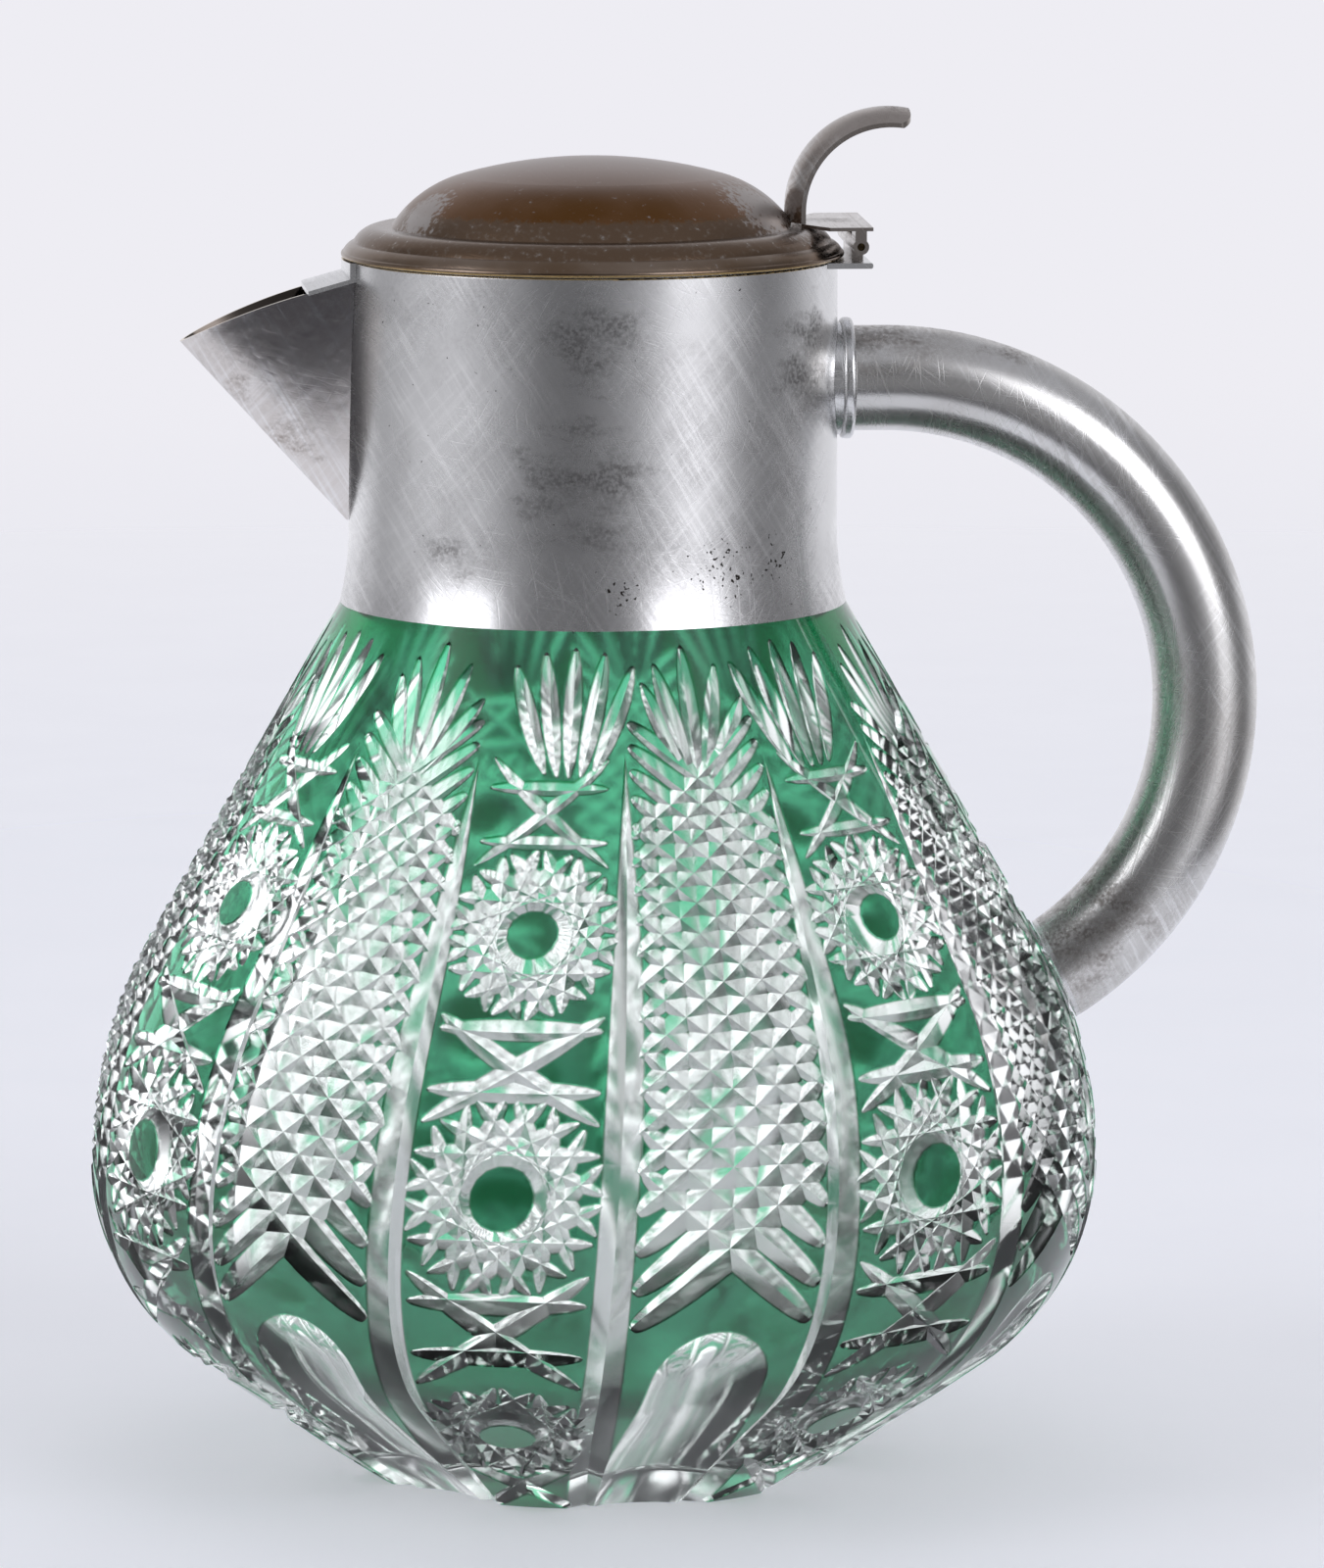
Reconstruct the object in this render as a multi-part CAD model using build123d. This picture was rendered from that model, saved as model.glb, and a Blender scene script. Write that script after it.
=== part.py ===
from build123d import *
import math
import os

# Cut crystal jug with a metal collar, spout, handle and hinged lid.
# Sizes are in millimetres and degrees. The origin is the centre of the foot,
# +Z is up, the handle is on +X and the spout on -X.

# Glass body, outside
foot_radius = 46.4
body_radius = 99.5
belly_height = 62.0
foot_slope = 54.5
shoulder_arc = 84.0
shoulder_setback = 0.13

# Glass body, inside
glass_wall = 6.5
glass_floor = 11.0
floor_fillet = 7.0
neck_wall = 5.0

# Glass neck, hidden in the collar
neck_length = 14.0
neck_gap = 1.5
neck_lip_fillet = 1.2

# Main cuts in the glass
column_count = 7
divider_depth = 2.0
divider_width = 8.0
divider_end_gap = 22.0
divider_reach = 6.0
flute_depth = 2.9
flute_radius = 30.0
flute_climb = 0.345

# Ground pattern between the main cuts. Walks are measured up the wall from the foot.
groove_angle = 57.0
groove_height = 6.0
band_places = ((10.0, 0.0, 22.0), (68.4, 11.8, 26.5), (121.0, 12.0, 21.5), (170.2, 11.0, 22.7))
band_width = 20.8
band_depth = 1.4
star_walks = (34.5, 94.8, 146.1)
star_radius = 20.0
star_offset = 8.1
star_depth = 1.4
star_turn = 90.0
diamond_walk = 84.6
diamond_share = 0.0792
diamond_rows = 14
diamond_lean = 40.6
diamond_depth = 1.85

# Collar
collar_bottom = 172.0
collar_length = 67.25
collar_top = collar_bottom + collar_length
collar_radius = 47.8
collar_flare = 1.8
collar_flare_height = 15.0
collar_sheet = 0.9
collar_lip = 0.3

# Spout
spout_apex_rise = 15.5
spout_overhang = 32.8
spout_tip_drop = 15.95
spout_rim_drop = 4.05
spout_rim_crown = 1.3
spout_half_width = 10.8
spout_sheet = 0.9

# Bridge plate over the back of the spout
bridge_overhang = 9.0
bridge_half_width = 11.2
bridge_crown = 1.2
bridge_bow = 1.0
bridge_sheet = 0.8
bridge_flange_height = 3.3
bridge_flange_sheet = 1.2

# Handle
handle_drop = 24.05
handle_radius = 10.3
handle_sheet = 1.0
handle_straight = 9.2
handle_bend = 64.0
handle_sweep = 148.0
handle_tail = 20.0
cap_sheet = 0.8
glass_clearance = 0.4

# Ferrule and socket at the top of the handle
ferrule_radius = 11.9
ferrule_width = 2.5
ferrule_edge = 0.9
socket_radius = 11.1
socket_length = 0.6

# Lid
lid_gap = 0.3
lid_overhang = 1.3
lid_rim_height = 2.95
lid_bead_height = 1.15
lid_shoulder_height = 2.9
lid_ledge_inset = 7.1
dome_inset = 9.8
dome_height = 13.4
dome_shoulder_inset = 13.3
dome_shoulder_height = 9.8
lid_sheet = 0.9
bezel_depth = 4.8
bezel_sheet = 0.8
bezel_clearance = 0.6

# Thumb lever
lever_setback = 1.8
lever_half_width = 8.0
lever_crown = 2.7
lever_sheet = 0.9
lever_bend = 19.7
lever_rise = 23.0
lever_length = 24.3
lever_corner = 4.0

# Hinge
hinge_overhang = 3.24
hinge_rise = 3.12
knuckle_radius = 1.55
pin_radius = 0.70
pin_clearance = 0.05
knuckle_gap = 0.2
side_knuckle_length = 8.0
knuckle_neck_width = 2.2
leaf_half_width = 17.5
leaf_overhang = 5.6
leaf_flank = 5.7
leaf_inner_half_width = 8.6
upper_leaf_sheet = 0.7
lower_leaf_sheet = 1.1
pin_recess = 1.0

# Solder and seat gap between pieces of one body
seat = 0.03

# Places that follow from the sizes above
collar_inner = collar_radius - collar_sheet
collar_foot_radius = collar_radius + collar_flare
spout_apex_height = collar_bottom + spout_apex_rise
spout_tip_reach = collar_radius + spout_overhang
spout_tip_height = collar_top - spout_tip_drop
spout_rim_height = collar_top - spout_rim_drop
bridge_reach = collar_radius + bridge_overhang
handle_height = collar_top - handle_drop
handle_straight_end = collar_radius + handle_straight
lid_radius = collar_radius + lid_overhang
lid_ring_inner = collar_inner - bezel_clearance
lid_ledge_radius = lid_radius - lid_ledge_inset
dome_radius = lid_radius - dome_inset
dome_shoulder_radius = dome_radius - dome_shoulder_inset
hinge_reach = collar_radius + hinge_overhang
hinge_height = collar_top + hinge_rise
leaf_reach = collar_radius + leaf_overhang
leaf_kink = dome_radius + leaf_flank
lever_outer_face = dome_radius - lever_setback
lever_reach = lever_outer_face + lever_length

# Room that is certain to hold the whole jug, for trimming
trim_reach = 3 * body_radius
trim_top = 2 * collar_top


def box_between(low, high):
    """Box from its lowest corner to its highest corner."""
    size = [b - a for a, b in zip(low, high)]
    place = Location(tuple(low))
    return place * Box(*size, align=(Align.MIN, Align.MIN, Align.MIN))


def round_about_axis(edges):
    """Solid of revolution about +Z from edges drawn as (radius, height)."""
    face = make_face(Plane.XZ * edges)
    return revolve(face, axis=Axis.Z)


def upright_cylinder(radius, low, high):
    """Cylinder about +Z between two heights."""
    return Pos(0, 0, low) * Cylinder(
        radius, high - low, align=(Align.CENTER, Align.CENTER, Align.MIN)
    )


def cross_cylinder(radius, start, end, reach, height):
    """Cylinder along +Y at a given place in the XZ plane."""
    lying = Rot(-90, 0, 0) * Cylinder(
        radius, end - start, align=(Align.CENTER, Align.CENTER, Align.MIN)
    )
    return Pos(reach, start, height) * lying


# Shape of the glass wall

slope_low = math.radians(foot_slope)
belly_arc = (
    belly_height * math.sin(slope_low)
    - (body_radius - foot_radius) * math.cos(slope_low)
) / (1 - math.cos(slope_low))
low_centre = (body_radius - belly_arc, belly_height)
high_centre = (body_radius - shoulder_arc, belly_height)


def angle_towards(radius, point):
    """Angle on a circle about the upper centre whose tangent meets a point."""
    away = (point[0] - high_centre[0], point[1] - high_centre[1])
    return math.atan2(away[1], away[0]) - math.acos(radius / math.hypot(*away))


shoulder_end = (collar_foot_radius - shoulder_setback, collar_bottom)
slope_high = angle_towards(shoulder_arc, shoulder_end)


def on_arc(centre, radius, angle):
    """Point on an arc of the wall, with the angle measured up from level."""
    return (
        centre[0] + radius * math.cos(angle),
        centre[1] + radius * math.sin(angle),
    )


def low_tangent(inset):
    return on_arc(low_centre, belly_arc - inset, -slope_low)


def high_tangent(inset):
    return on_arc(high_centre, shoulder_arc - inset, slope_high)


def lower_wall(height, inset=0.0):
    """Point of the straight lower wall at a height."""
    r, z = low_tangent(inset)
    return (r - (z - height) * math.tan(slope_low), height)


def upper_wall(height, inset=0.0):
    """Point of the straight shoulder at a height."""
    r, z = high_tangent(inset)
    return (r - (height - z) * math.tan(slope_high), height)


def belly_edges(start, end, inset=0.0):
    """Wall from a point on the lower cone to a point on the shoulder."""
    low = low_tangent(inset)
    low_mid = on_arc(low_centre, belly_arc - inset, -slope_low / 2)
    belly = (body_radius - inset, belly_height)
    high_mid = on_arc(high_centre, shoulder_arc - inset, slope_high / 2)
    high = high_tangent(inset)
    return (
        Line(start, low)
        + ThreePointArc(low, low_mid, belly)
        + ThreePointArc(belly, high_mid, high)
        + Line(high, end)
    )


def glass_envelope(outset):
    """Solid body of the wall moved outwards, for pieces that follow the glass."""
    bottom = -outset - 1.0
    start = lower_wall(bottom, -outset)
    end = upper_wall(collar_bottom, -outset)
    edges = belly_edges(start, end, -outset)
    edges += Polyline(end, (0, collar_bottom), (0, bottom), start)
    return round_about_axis(edges)


neck_top = collar_bottom + neck_length
neck_radius = collar_inner - neck_gap
bore_radius = neck_radius - neck_wall


def glass_cavity():
    """Inside of the body, open at the neck."""
    start = lower_wall(glass_floor, glass_wall)
    high_r, high_z = high_tangent(glass_wall)
    meet = high_z + (high_r - bore_radius) / math.tan(slope_high)
    end = (bore_radius, meet)
    above = neck_top + 1.0
    edges = belly_edges(start, end, glass_wall)
    edges += Polyline(end, (bore_radius, above), (0, above), (0, glass_floor), start)
    cavity = round_about_axis(edges)
    floor_edge = cavity.edges().filter_by(GeomType.CIRCLE).sort_by(Axis.Z)[0]
    return fillet(floor_edge, floor_fillet)


def divider_cutter():
    """Mitre wheel path up one divider: follows the wall, then runs out at the top."""
    radius = shoulder_arc - divider_depth
    exit_point = upper_wall(collar_bottom - divider_end_gap)
    angle = angle_towards(radius, exit_point)
    leave = on_arc(high_centre, radius, angle)
    beyond = (
        exit_point[0] - divider_reach * math.sin(angle),
        exit_point[1] + divider_reach * math.cos(angle),
    )
    start = lower_wall(-divider_reach, divider_depth)
    low = low_tangent(divider_depth)
    low_mid = on_arc(low_centre, belly_arc - divider_depth, -slope_low / 2)
    belly = (body_radius - divider_depth, belly_height)
    high_mid = on_arc(high_centre, radius, angle / 2)
    path = Plane.XZ * (
        Line(start, low)
        + ThreePointArc(low, low_mid, belly)
        + ThreePointArc(belly, high_mid, leave)
        + Line(leave, beyond)
    )
    height = divider_depth * 2
    half = divider_width
    section_plane = Plane(
        origin=(start[0], 0, start[1]),
        x_dir=(0, 1, 0),
        z_dir=(math.sin(slope_low), 0, math.cos(slope_low)),
    )
    outward = 1 if section_plane.y_dir.X > 0 else -1
    section = section_plane * make_face(
        Polyline((0, 0), (half, outward * height), (-half, outward * height), (0, 0))
    )
    return sweep(section, path=path)


def flute_cutter():
    """Large round cut that follows the lower wall and ends round on the belly."""
    lift = flute_radius - flute_depth
    end_angle = -slope_low * (1 - flute_climb)
    start = lower_wall(-flute_radius, -lift)
    low = low_tangent(-lift)
    radius = belly_arc + lift
    mid = on_arc(low_centre, radius, (end_angle - slope_low) / 2)
    end = on_arc(low_centre, radius, end_angle)
    path = Plane.XZ * (Line(start, low) + ThreePointArc(low, mid, end))
    section = Plane(
        origin=(start[0], 0, start[1]),
        z_dir=(math.sin(slope_low), 0, math.cos(slope_low)),
    ) * Circle(flute_radius)
    return sweep(section, path=path) + Pos(end[0], 0, end[1]) * Sphere(flute_radius)

def wall_point(walk):
    """Radius, height and tilt of the normal after walking up the wall from the foot."""
    low_walk = (belly_height - belly_arc * math.sin(slope_low)) / math.cos(slope_low)
    belly_walk = low_walk + belly_arc * slope_low
    high_walk = belly_walk + shoulder_arc * slope_high
    if walk < belly_walk:
        tilt = max(-slope_low, (walk - belly_walk) / belly_arc)
        r, z = on_arc(low_centre, belly_arc, tilt)
        past = min(0.0, walk - low_walk)
    else:
        tilt = min(slope_high, (walk - belly_walk) / shoulder_arc)
        r, z = on_arc(high_centre, shoulder_arc, tilt)
        past = max(0.0, walk - high_walk)
    return r - past * math.sin(tilt), z + past * math.cos(tilt), tilt


def groove(angle, walk, lean, depth, reach):
    """Straight V groove that touches the wall in the middle of its run."""
    r, z, tilt = wall_point(walk)
    turn = math.radians(angle)
    around = Vector(-math.sin(turn), math.cos(turn), 0)
    outward = Vector(
        math.cos(tilt) * math.cos(turn), math.cos(tilt) * math.sin(turn), math.sin(tilt)
    )
    up = outward.cross(around)
    along = around * math.cos(math.radians(lean)) + up * math.sin(math.radians(lean))
    place = Vector(r * math.cos(turn), r * math.sin(turn), z)
    start = place - outward * depth - along * reach
    section = Plane(origin=start, x_dir=outward.cross(along), z_dir=along)
    high = groove_height if section.y_dir.dot(outward) > 0 else -groove_height
    wide = groove_height * math.tan(math.radians(groove_angle))
    wedge = make_face(section * Polyline((0, 0), (wide, high), (-wide, high), (0, 0)))
    return extrude(wedge, amount=2 * reach, dir=along)


def band_grooves(middle, walk, spacing, rise):
    """Two level grooves and a cross between them."""
    r = wall_point(walk)[0]
    run = math.radians(band_width) * r
    lean = math.degrees(math.atan2(rise, run))
    reach = math.hypot(rise, run) / 2
    made = [groove(middle, walk, turn, band_depth, reach) for turn in (lean, -lean)]
    if spacing:
        for place in (walk - spacing / 2, walk + spacing / 2):
            made.append(groove(middle, place, 0, band_depth, run / 2))
    return made


def star_grooves(middle, walk):
    """Grooves in pairs at the same distance either side of a button."""
    r = wall_point(walk)[0]
    reach = math.sqrt(star_radius**2 - star_offset**2)
    made = []
    for count in range(round(180 / star_turn)):
        turn = count * star_turn
        for offset in (-star_offset, star_offset):
            across = -offset * math.sin(math.radians(turn))
            up = offset * math.cos(math.radians(turn))
            angle = middle + math.degrees(across / r)
            made.append(groove(angle, walk + up, turn, star_depth, reach))
    return made


def diamond_grooves(middle):
    """Every second groove of the diamond panel, closer together where the jug is thin."""
    made = []
    walk = diamond_walk
    for row in range(0, diamond_rows + 1, 2):
        r = wall_point(walk)[0]
        reach = math.radians(band_width / 2) * r / math.cos(math.radians(diamond_lean))
        depth = diamond_depth * r / body_radius
        for lean in (-diamond_lean, diamond_lean):
            made.append(groove(middle, walk, lean, depth, reach))
        walk += 2 * diamond_share * wall_point(walk + diamond_share * r)[0]
    return made


def crystal_body():
    """Cased glass: one fused piece with divider mitres and flutes cut in it."""
    start = (lower_wall(0)[0], 0)
    shoulder = upper_wall(collar_bottom - seat)
    step = (collar_inner + 0.4 * collar_flare, shoulder[1])
    root = (neck_radius, collar_bottom + neck_length / 2)
    edges = belly_edges(start, shoulder)
    edges += Polyline(
        shoulder, step, root, (neck_radius, neck_top), (0, neck_top), (0, 0), start
    )
    body = round_about_axis(edges)
    lip = body.edges().filter_by(GeomType.CIRCLE).sort_by(Axis.Z)[-1]
    body = fillet(lip, neck_lip_fillet)
    step_angle = 360 / column_count
    divider = divider_cutter()
    flute = flute_cutter()
    cutters = []
    for column in range(column_count):
        middle = column * step_angle
        cutters.append(Rot(0, 0, middle + step_angle / 4) * divider)
        cutters.append(Rot(0, 0, middle - step_angle / 4) * divider)
        cutters.append(Rot(0, 0, middle + step_angle / 2) * flute)
        for place in band_places:
            cutters += band_grooves(middle, *place)
        for walk in star_walks:
            cutters += star_grooves(middle, walk)
        cutters += diamond_grooves(middle + step_angle / 2)
    body = body - cutters
    return body - glass_cavity()


def plaster_bed():
    """Ring of plaster that holds the collar on the glass neck."""
    low = collar_bottom + neck_length / 2
    ring = upright_cylinder(collar_inner - seat, low, neck_top)
    return ring - upright_cylinder(neck_radius + seat, low, neck_top)


# Collar and spout


def collar_sleeve():
    """Tube of sheet metal with a flared foot."""
    shift = collar_flare
    bend = (collar_flare_height**2 + shift**2) / (2 * shift)
    flare_top = collar_bottom + collar_flare_height
    half = math.asin(collar_flare_height / bend) / 2
    mid_r = bend * (1 - math.cos(half))
    mid_z = flare_top - bend * math.sin(half)

    def side(radius):
        foot = (radius + shift, collar_bottom)
        flare = ThreePointArc(foot, (radius + mid_r, mid_z), (radius, flare_top))
        return flare + Line((radius, flare_top), (radius, collar_top))

    edges = side(collar_radius) + side(collar_inner)
    edges += Line((collar_inner, collar_top), (collar_radius, collar_top))
    edges += Line(
        (collar_inner + shift, collar_bottom), (collar_foot_radius, collar_bottom)
    )
    sleeve = round_about_axis(edges)
    lip = sleeve.edges().filter_by(GeomType.CIRCLE).group_by(Axis.Z)[-1]
    return fillet(lip, collar_lip)


spout_run = (spout_tip_reach - collar_radius) / (spout_tip_height - spout_apex_height)
spout_spread = spout_half_width / (collar_top - spout_apex_height)


def spout_cone(sheet, low, high):
    """Tapered solid with an elliptical section that grows from the apex."""
    front = sheet * math.hypot(1, spout_run)
    side = sheet * math.hypot(1, spout_spread)
    ends = []
    for rise in (low, high):
        ellipse = Ellipse(rise * spout_run - front, rise * spout_spread - side)
        place = Pos(-collar_radius, 0, spout_apex_height + rise)
        ends.append(place * ellipse)
    return loft(ends, ruled=True)


cone_top = collar_top - spout_apex_height + 4.0
spout_channel_low = 8.0


def spout_rim_edges(lift):
    """Line of the spout's rim in the XZ plane, moved up by a distance."""
    back = (-collar_radius, spout_rim_height + lift)
    tip = (-spout_tip_reach, spout_tip_height + lift)
    chord = math.hypot(tip[0] - back[0], tip[1] - back[1])
    normal = ((tip[1] - back[1]) / chord, (back[0] - tip[0]) / chord)
    middle = (
        (back[0] + tip[0]) / 2 + spout_rim_crown * normal[0],
        (back[1] + tip[1]) / 2 + spout_rim_crown * normal[1],
    )
    return back, middle, tip


def above_rim(lift, half_width):
    """Region over the rim line, used to trim the spout and its bridge."""
    back, middle, tip = spout_rim_edges(lift)
    far = -2 * spout_tip_reach
    fall = (middle[1] - tip[1]) / (middle[0] - tip[0])
    rise = (back[1] - middle[1]) / (back[0] - middle[0])
    beyond = (far, tip[1] + fall * (far - tip[0]))
    inside = (0.0, back[1] - rise * back[0])
    top = max(collar_top, inside[1]) + cone_top
    edges = ThreePointArc(back, middle, tip)
    edges += Polyline(tip, beyond, (far, top), (0.0, top), inside, back)
    face = make_face(Plane.XZ * edges)
    return extrude(face, amount=half_width, both=True)


def spout_side(low, high):
    """All the room on the spout's side of the axis between two heights."""
    return box_between((-trim_reach, -trim_reach, low), (0, trim_reach, high))


def spout_channel():
    """Open space inside the spout, which also pierces the collar."""
    cone = spout_cone(spout_sheet, spout_channel_low, cone_top)
    return cone & spout_side(collar_bottom, collar_top)


def neck_collar():
    """Collar with its opening behind the spout, below the bridge."""
    window_top = spout_rim_height - bridge_sheet
    window = spout_channel() & spout_side(spout_apex_height, window_top)
    return collar_sleeve() - window


def spout_shell():
    """Folded sheet spout, open on top and towards the collar."""
    shell = spout_cone(0.0, 0.5, cone_top) - spout_cone(
        spout_sheet, spout_channel_low, cone_top + 1.0
    )
    shell -= upright_cylinder(collar_radius + seat, collar_bottom, trim_top)
    shell -= above_rim(0.0, 2 * spout_half_width)
    return shell & spout_side(collar_bottom, trim_top)


def spout_bridge():
    """Crowned plate over the back of the spout, turned up against the collar."""
    back, middle, tip = spout_rim_edges(seat)
    slope = math.atan2(back[1] - middle[1], back[0] - middle[0])
    crown_radius = (bridge_half_width**2 + bridge_crown**2) / (2 * bridge_crown)
    axis_depth = crown_radius - bridge_crown
    along = Plane(
        origin=(back[0], 0, back[1]),
        x_dir=(0, 1, 0),
        z_dir=(-math.cos(slope), 0, -math.sin(slope)),
    )
    up = 1 if along.y_dir.Z > 0 else -1
    centre = Pos(0, -up * axis_depth)
    ring = centre * Circle(crown_radius + bridge_sheet)
    ring -= centre * Circle(crown_radius)
    keep = Pos(0, up * crown_radius) * Rectangle(
        2 * bridge_half_width, 2 * crown_radius
    )
    section = along * Pos(0, 0, -bridge_overhang) * (ring & keep)
    plate = extrude(section, amount=3 * bridge_overhang)
    corner = bridge_reach - bridge_bow
    root = collar_radius * 0.9
    outline = Polyline(
        (-corner, -bridge_half_width),
        (-root, -bridge_half_width),
        (-root, bridge_half_width),
        (-corner, bridge_half_width),
    )
    outline += ThreePointArc(
        (-corner, bridge_half_width),
        (-bridge_reach, 0),
        (-corner, -bridge_half_width),
    )
    plate &= extrude(Pos(0, 0, collar_bottom) * make_face(outline), amount=trim_top)
    flange = upright_cylinder(
        collar_radius + bridge_flange_sheet,
        collar_top - bridge_flange_height,
        collar_top,
    )
    flange &= box_between(
        (-trim_reach, -bridge_half_width, collar_bottom),
        (-collar_radius / 2, bridge_half_width, trim_top),
    )
    bridge = plate + flange
    bridge -= upright_cylinder(collar_radius + seat, collar_bottom, trim_top)
    return bridge


# Handle


def handle_path(tail):
    """Centre line of the handle: level, round, then straight into the glass."""
    centre = (handle_straight_end, handle_height - handle_bend)
    sweep_angle = math.radians(handle_sweep)

    def at(turn):
        return (
            centre[0] + handle_bend * math.sin(turn),
            centre[1] + handle_bend * math.cos(turn),
        )

    start = (collar_radius * 0.8, handle_height)
    top = at(0)
    end = at(sweep_angle)
    last = (
        end[0] + tail * math.cos(sweep_angle),
        end[1] - tail * math.sin(sweep_angle),
    )
    return Plane.XZ * (
        Line(start, top)
        + ThreePointArc(top, at(sweep_angle / 2), end)
        + Line(end, last)
    )


def handle_bar(radius):
    """Round bar along the handle's centre line."""
    start = (collar_radius * 0.8, 0, handle_height)
    section = Plane(origin=start, z_dir=(1, 0, 0)) * Circle(radius)
    return sweep(section, path=handle_path(handle_tail))


def around_handle(outer, inner, start, end):
    """Ring about the handle's level part."""
    align = (Align.CENTER, Align.CENTER, Align.MIN)
    ring = Cylinder(outer, end - start, align=align)
    ring -= Cylinder(inner, end - start, align=align)
    return Plane(origin=(start, 0, handle_height), z_dir=(1, 0, 0)) * ring


ferrule_start = collar_radius + socket_length


def handle_tube():
    """Hollow handle from the collar to the glass."""
    tube = handle_bar(handle_radius) - handle_bar(handle_radius - handle_sheet)
    tube -= upright_cylinder(collar_radius + seat, collar_bottom, trim_top)
    return tube - glass_envelope(glass_clearance + cap_sheet)


def handle_end_cap():
    """Plate that closes the handle's lower end and follows the glass."""
    cap = handle_bar(handle_radius) & glass_envelope(glass_clearance + cap_sheet)
    cap -= glass_envelope(glass_clearance)
    return cap


def handle_socket():
    """Short collar soldered round the handle where it meets the neck."""
    ring = around_handle(
        socket_radius, handle_radius + seat, ferrule_start - 5.0, ferrule_start
    )
    return ring - upright_cylinder(collar_radius + seat, collar_bottom, trim_top)


def handle_ferrule():
    """Bead round the handle."""
    ring = around_handle(
        ferrule_radius,
        handle_radius + seat,
        ferrule_start,
        ferrule_start + ferrule_width,
    )
    rounds = [
        edge
        for edge in ring.edges().filter_by(GeomType.CIRCLE)
        if abs(edge.radius - ferrule_radius) < 0.01
    ]
    return fillet(rounds, ferrule_edge)


# Lid

lid_bottom = collar_top + lid_gap
ring_top = lid_bottom + lid_rim_height
ledge_height = ring_top + lid_shoulder_height
cap_foot_radius = lid_radius - 2.4
lever_height = ledge_height + lever_rise


def lid_rim():
    """Moulded ring at the edge of the lid."""
    bead = lid_bottom + lid_bead_height
    edges = ThreePointArc(
        (lid_radius - 0.5, lid_bottom),
        (lid_radius, lid_bottom + lid_bead_height / 2),
        (lid_radius - 0.4, bead),
    )
    edges += ThreePointArc(
        (lid_radius - 0.4, bead),
        (lid_radius - 1.2, bead + (ring_top - bead) * 0.6),
        (cap_foot_radius, ring_top),
    )
    edges += Polyline(
        (cap_foot_radius, ring_top),
        (lid_ring_inner, ring_top),
        (lid_ring_inner, lid_bottom),
        (lid_radius - 0.5, lid_bottom),
    )
    return round_about_axis(edges)


def lid_outline(inset):
    """Outside of the lid's shell from its foot to the top of the dome."""
    foot = (cap_foot_radius - inset, ring_top)
    ledge = (lid_ledge_radius - inset / 2, ledge_height - inset)
    dome_foot = (dome_radius - inset * 0.7, ledge_height - inset)
    shoulder = (
        dome_shoulder_radius - inset * 0.3,
        ledge_height + dome_shoulder_height - inset,
    )
    apex = (0.0, ledge_height + dome_height - inset)
    crown = TangentArc(apex, shoulder, tangent=(1, 0))
    side = TangentArc(shoulder, dome_foot, tangent=crown % 1)
    round_edge = TangentArc(ledge, foot, tangent=(1, 0))
    return round_edge + Line(ledge, dome_foot) + side + crown


def lid_solid(inset, bottom):
    """Lid filled below its outline."""
    foot = (cap_foot_radius - inset, ring_top)
    apex = (0.0, ledge_height + dome_height - inset)
    edges = lid_outline(inset) + Polyline(apex, (0, bottom), (foot[0], bottom))
    if bottom < ring_top:
        edges += Line((foot[0], bottom), foot)
    return round_about_axis(edges)


def lid_dome():
    """Spun shell with a ledge and a low dome."""
    shell = lid_solid(0.0, ring_top) - lid_solid(lid_sheet, ring_top)
    return shell


def lid_bezel():
    """Ring inside the lid that centres it in the collar."""
    outer = lid_ring_inner - seat
    low = lid_bottom - bezel_depth
    ring = upright_cylinder(outer, low, ring_top - seat)
    return ring - upright_cylinder(outer - bezel_sheet, low, ring_top)


def lever_clear_of_lid():
    """Space that the lid and its leaf already fill."""
    lid = lid_solid(-seat, lid_bottom)
    leaf = box_between(
        (0, -leaf_half_width, lid_bottom),
        (leaf_reach, leaf_half_width, upper_leaf_top + seat),
    )
    return lid + leaf


upper_leaf_low = ledge_height + seat
upper_leaf_top = upper_leaf_low + upper_leaf_sheet


def thumb_lever():
    """Arched strip that stands on the lid and curls towards the handle."""
    curve = (lever_half_width**2 + lever_crown**2) / (2 * lever_crown)
    centre_x = lever_outer_face + curve
    ring = Pos(centre_x, 0) * Circle(curve)
    ring -= Pos(centre_x, 0) * Circle(curve - lever_sheet)
    left = lever_outer_face + lever_crown + lever_sheet
    keep = Pos(left - curve, 0) * Rectangle(2 * curve, 2 * lever_half_width)
    low = ring_top
    spine_x = lever_outer_face + lever_sheet / 2
    top = lever_height - lever_sheet / 2
    bend_start = top - lever_bend
    section = Pos(0, 0, low) * (ring & keep)
    past_top = math.asin((lever_reach + 2.0 - spine_x) / lever_bend - 1)
    whole_turn = math.pi / 2 + past_top

    def on_bend(turn):
        """Place on the bend after a turn away from upright."""
        along = spine_x + lever_bend * (1 - math.cos(turn))
        return (along, bend_start + lever_bend * math.sin(turn))

    path = Plane.XZ * (
        Line((spine_x, low), on_bend(0))
        + ThreePointArc(on_bend(0), on_bend(whole_turn / 2), on_bend(whole_turn))
    )
    strip = sweep(section, path=path)
    length = lever_reach
    outline = Rectangle(length, 2 * lever_half_width + 1.0, align=(Align.MIN, Align.CENTER))
    corners = outline.vertices().sort_by(Axis.X)[-2:]
    outline = fillet(corners, lever_corner)
    strip &= Pos(0, 0, low - 1) * extrude(outline, amount=lever_height)
    return strip - lever_clear_of_lid()


# Hinge

side_knuckle_start = leaf_half_width - side_knuckle_length
centre_half = side_knuckle_start - knuckle_gap


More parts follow.
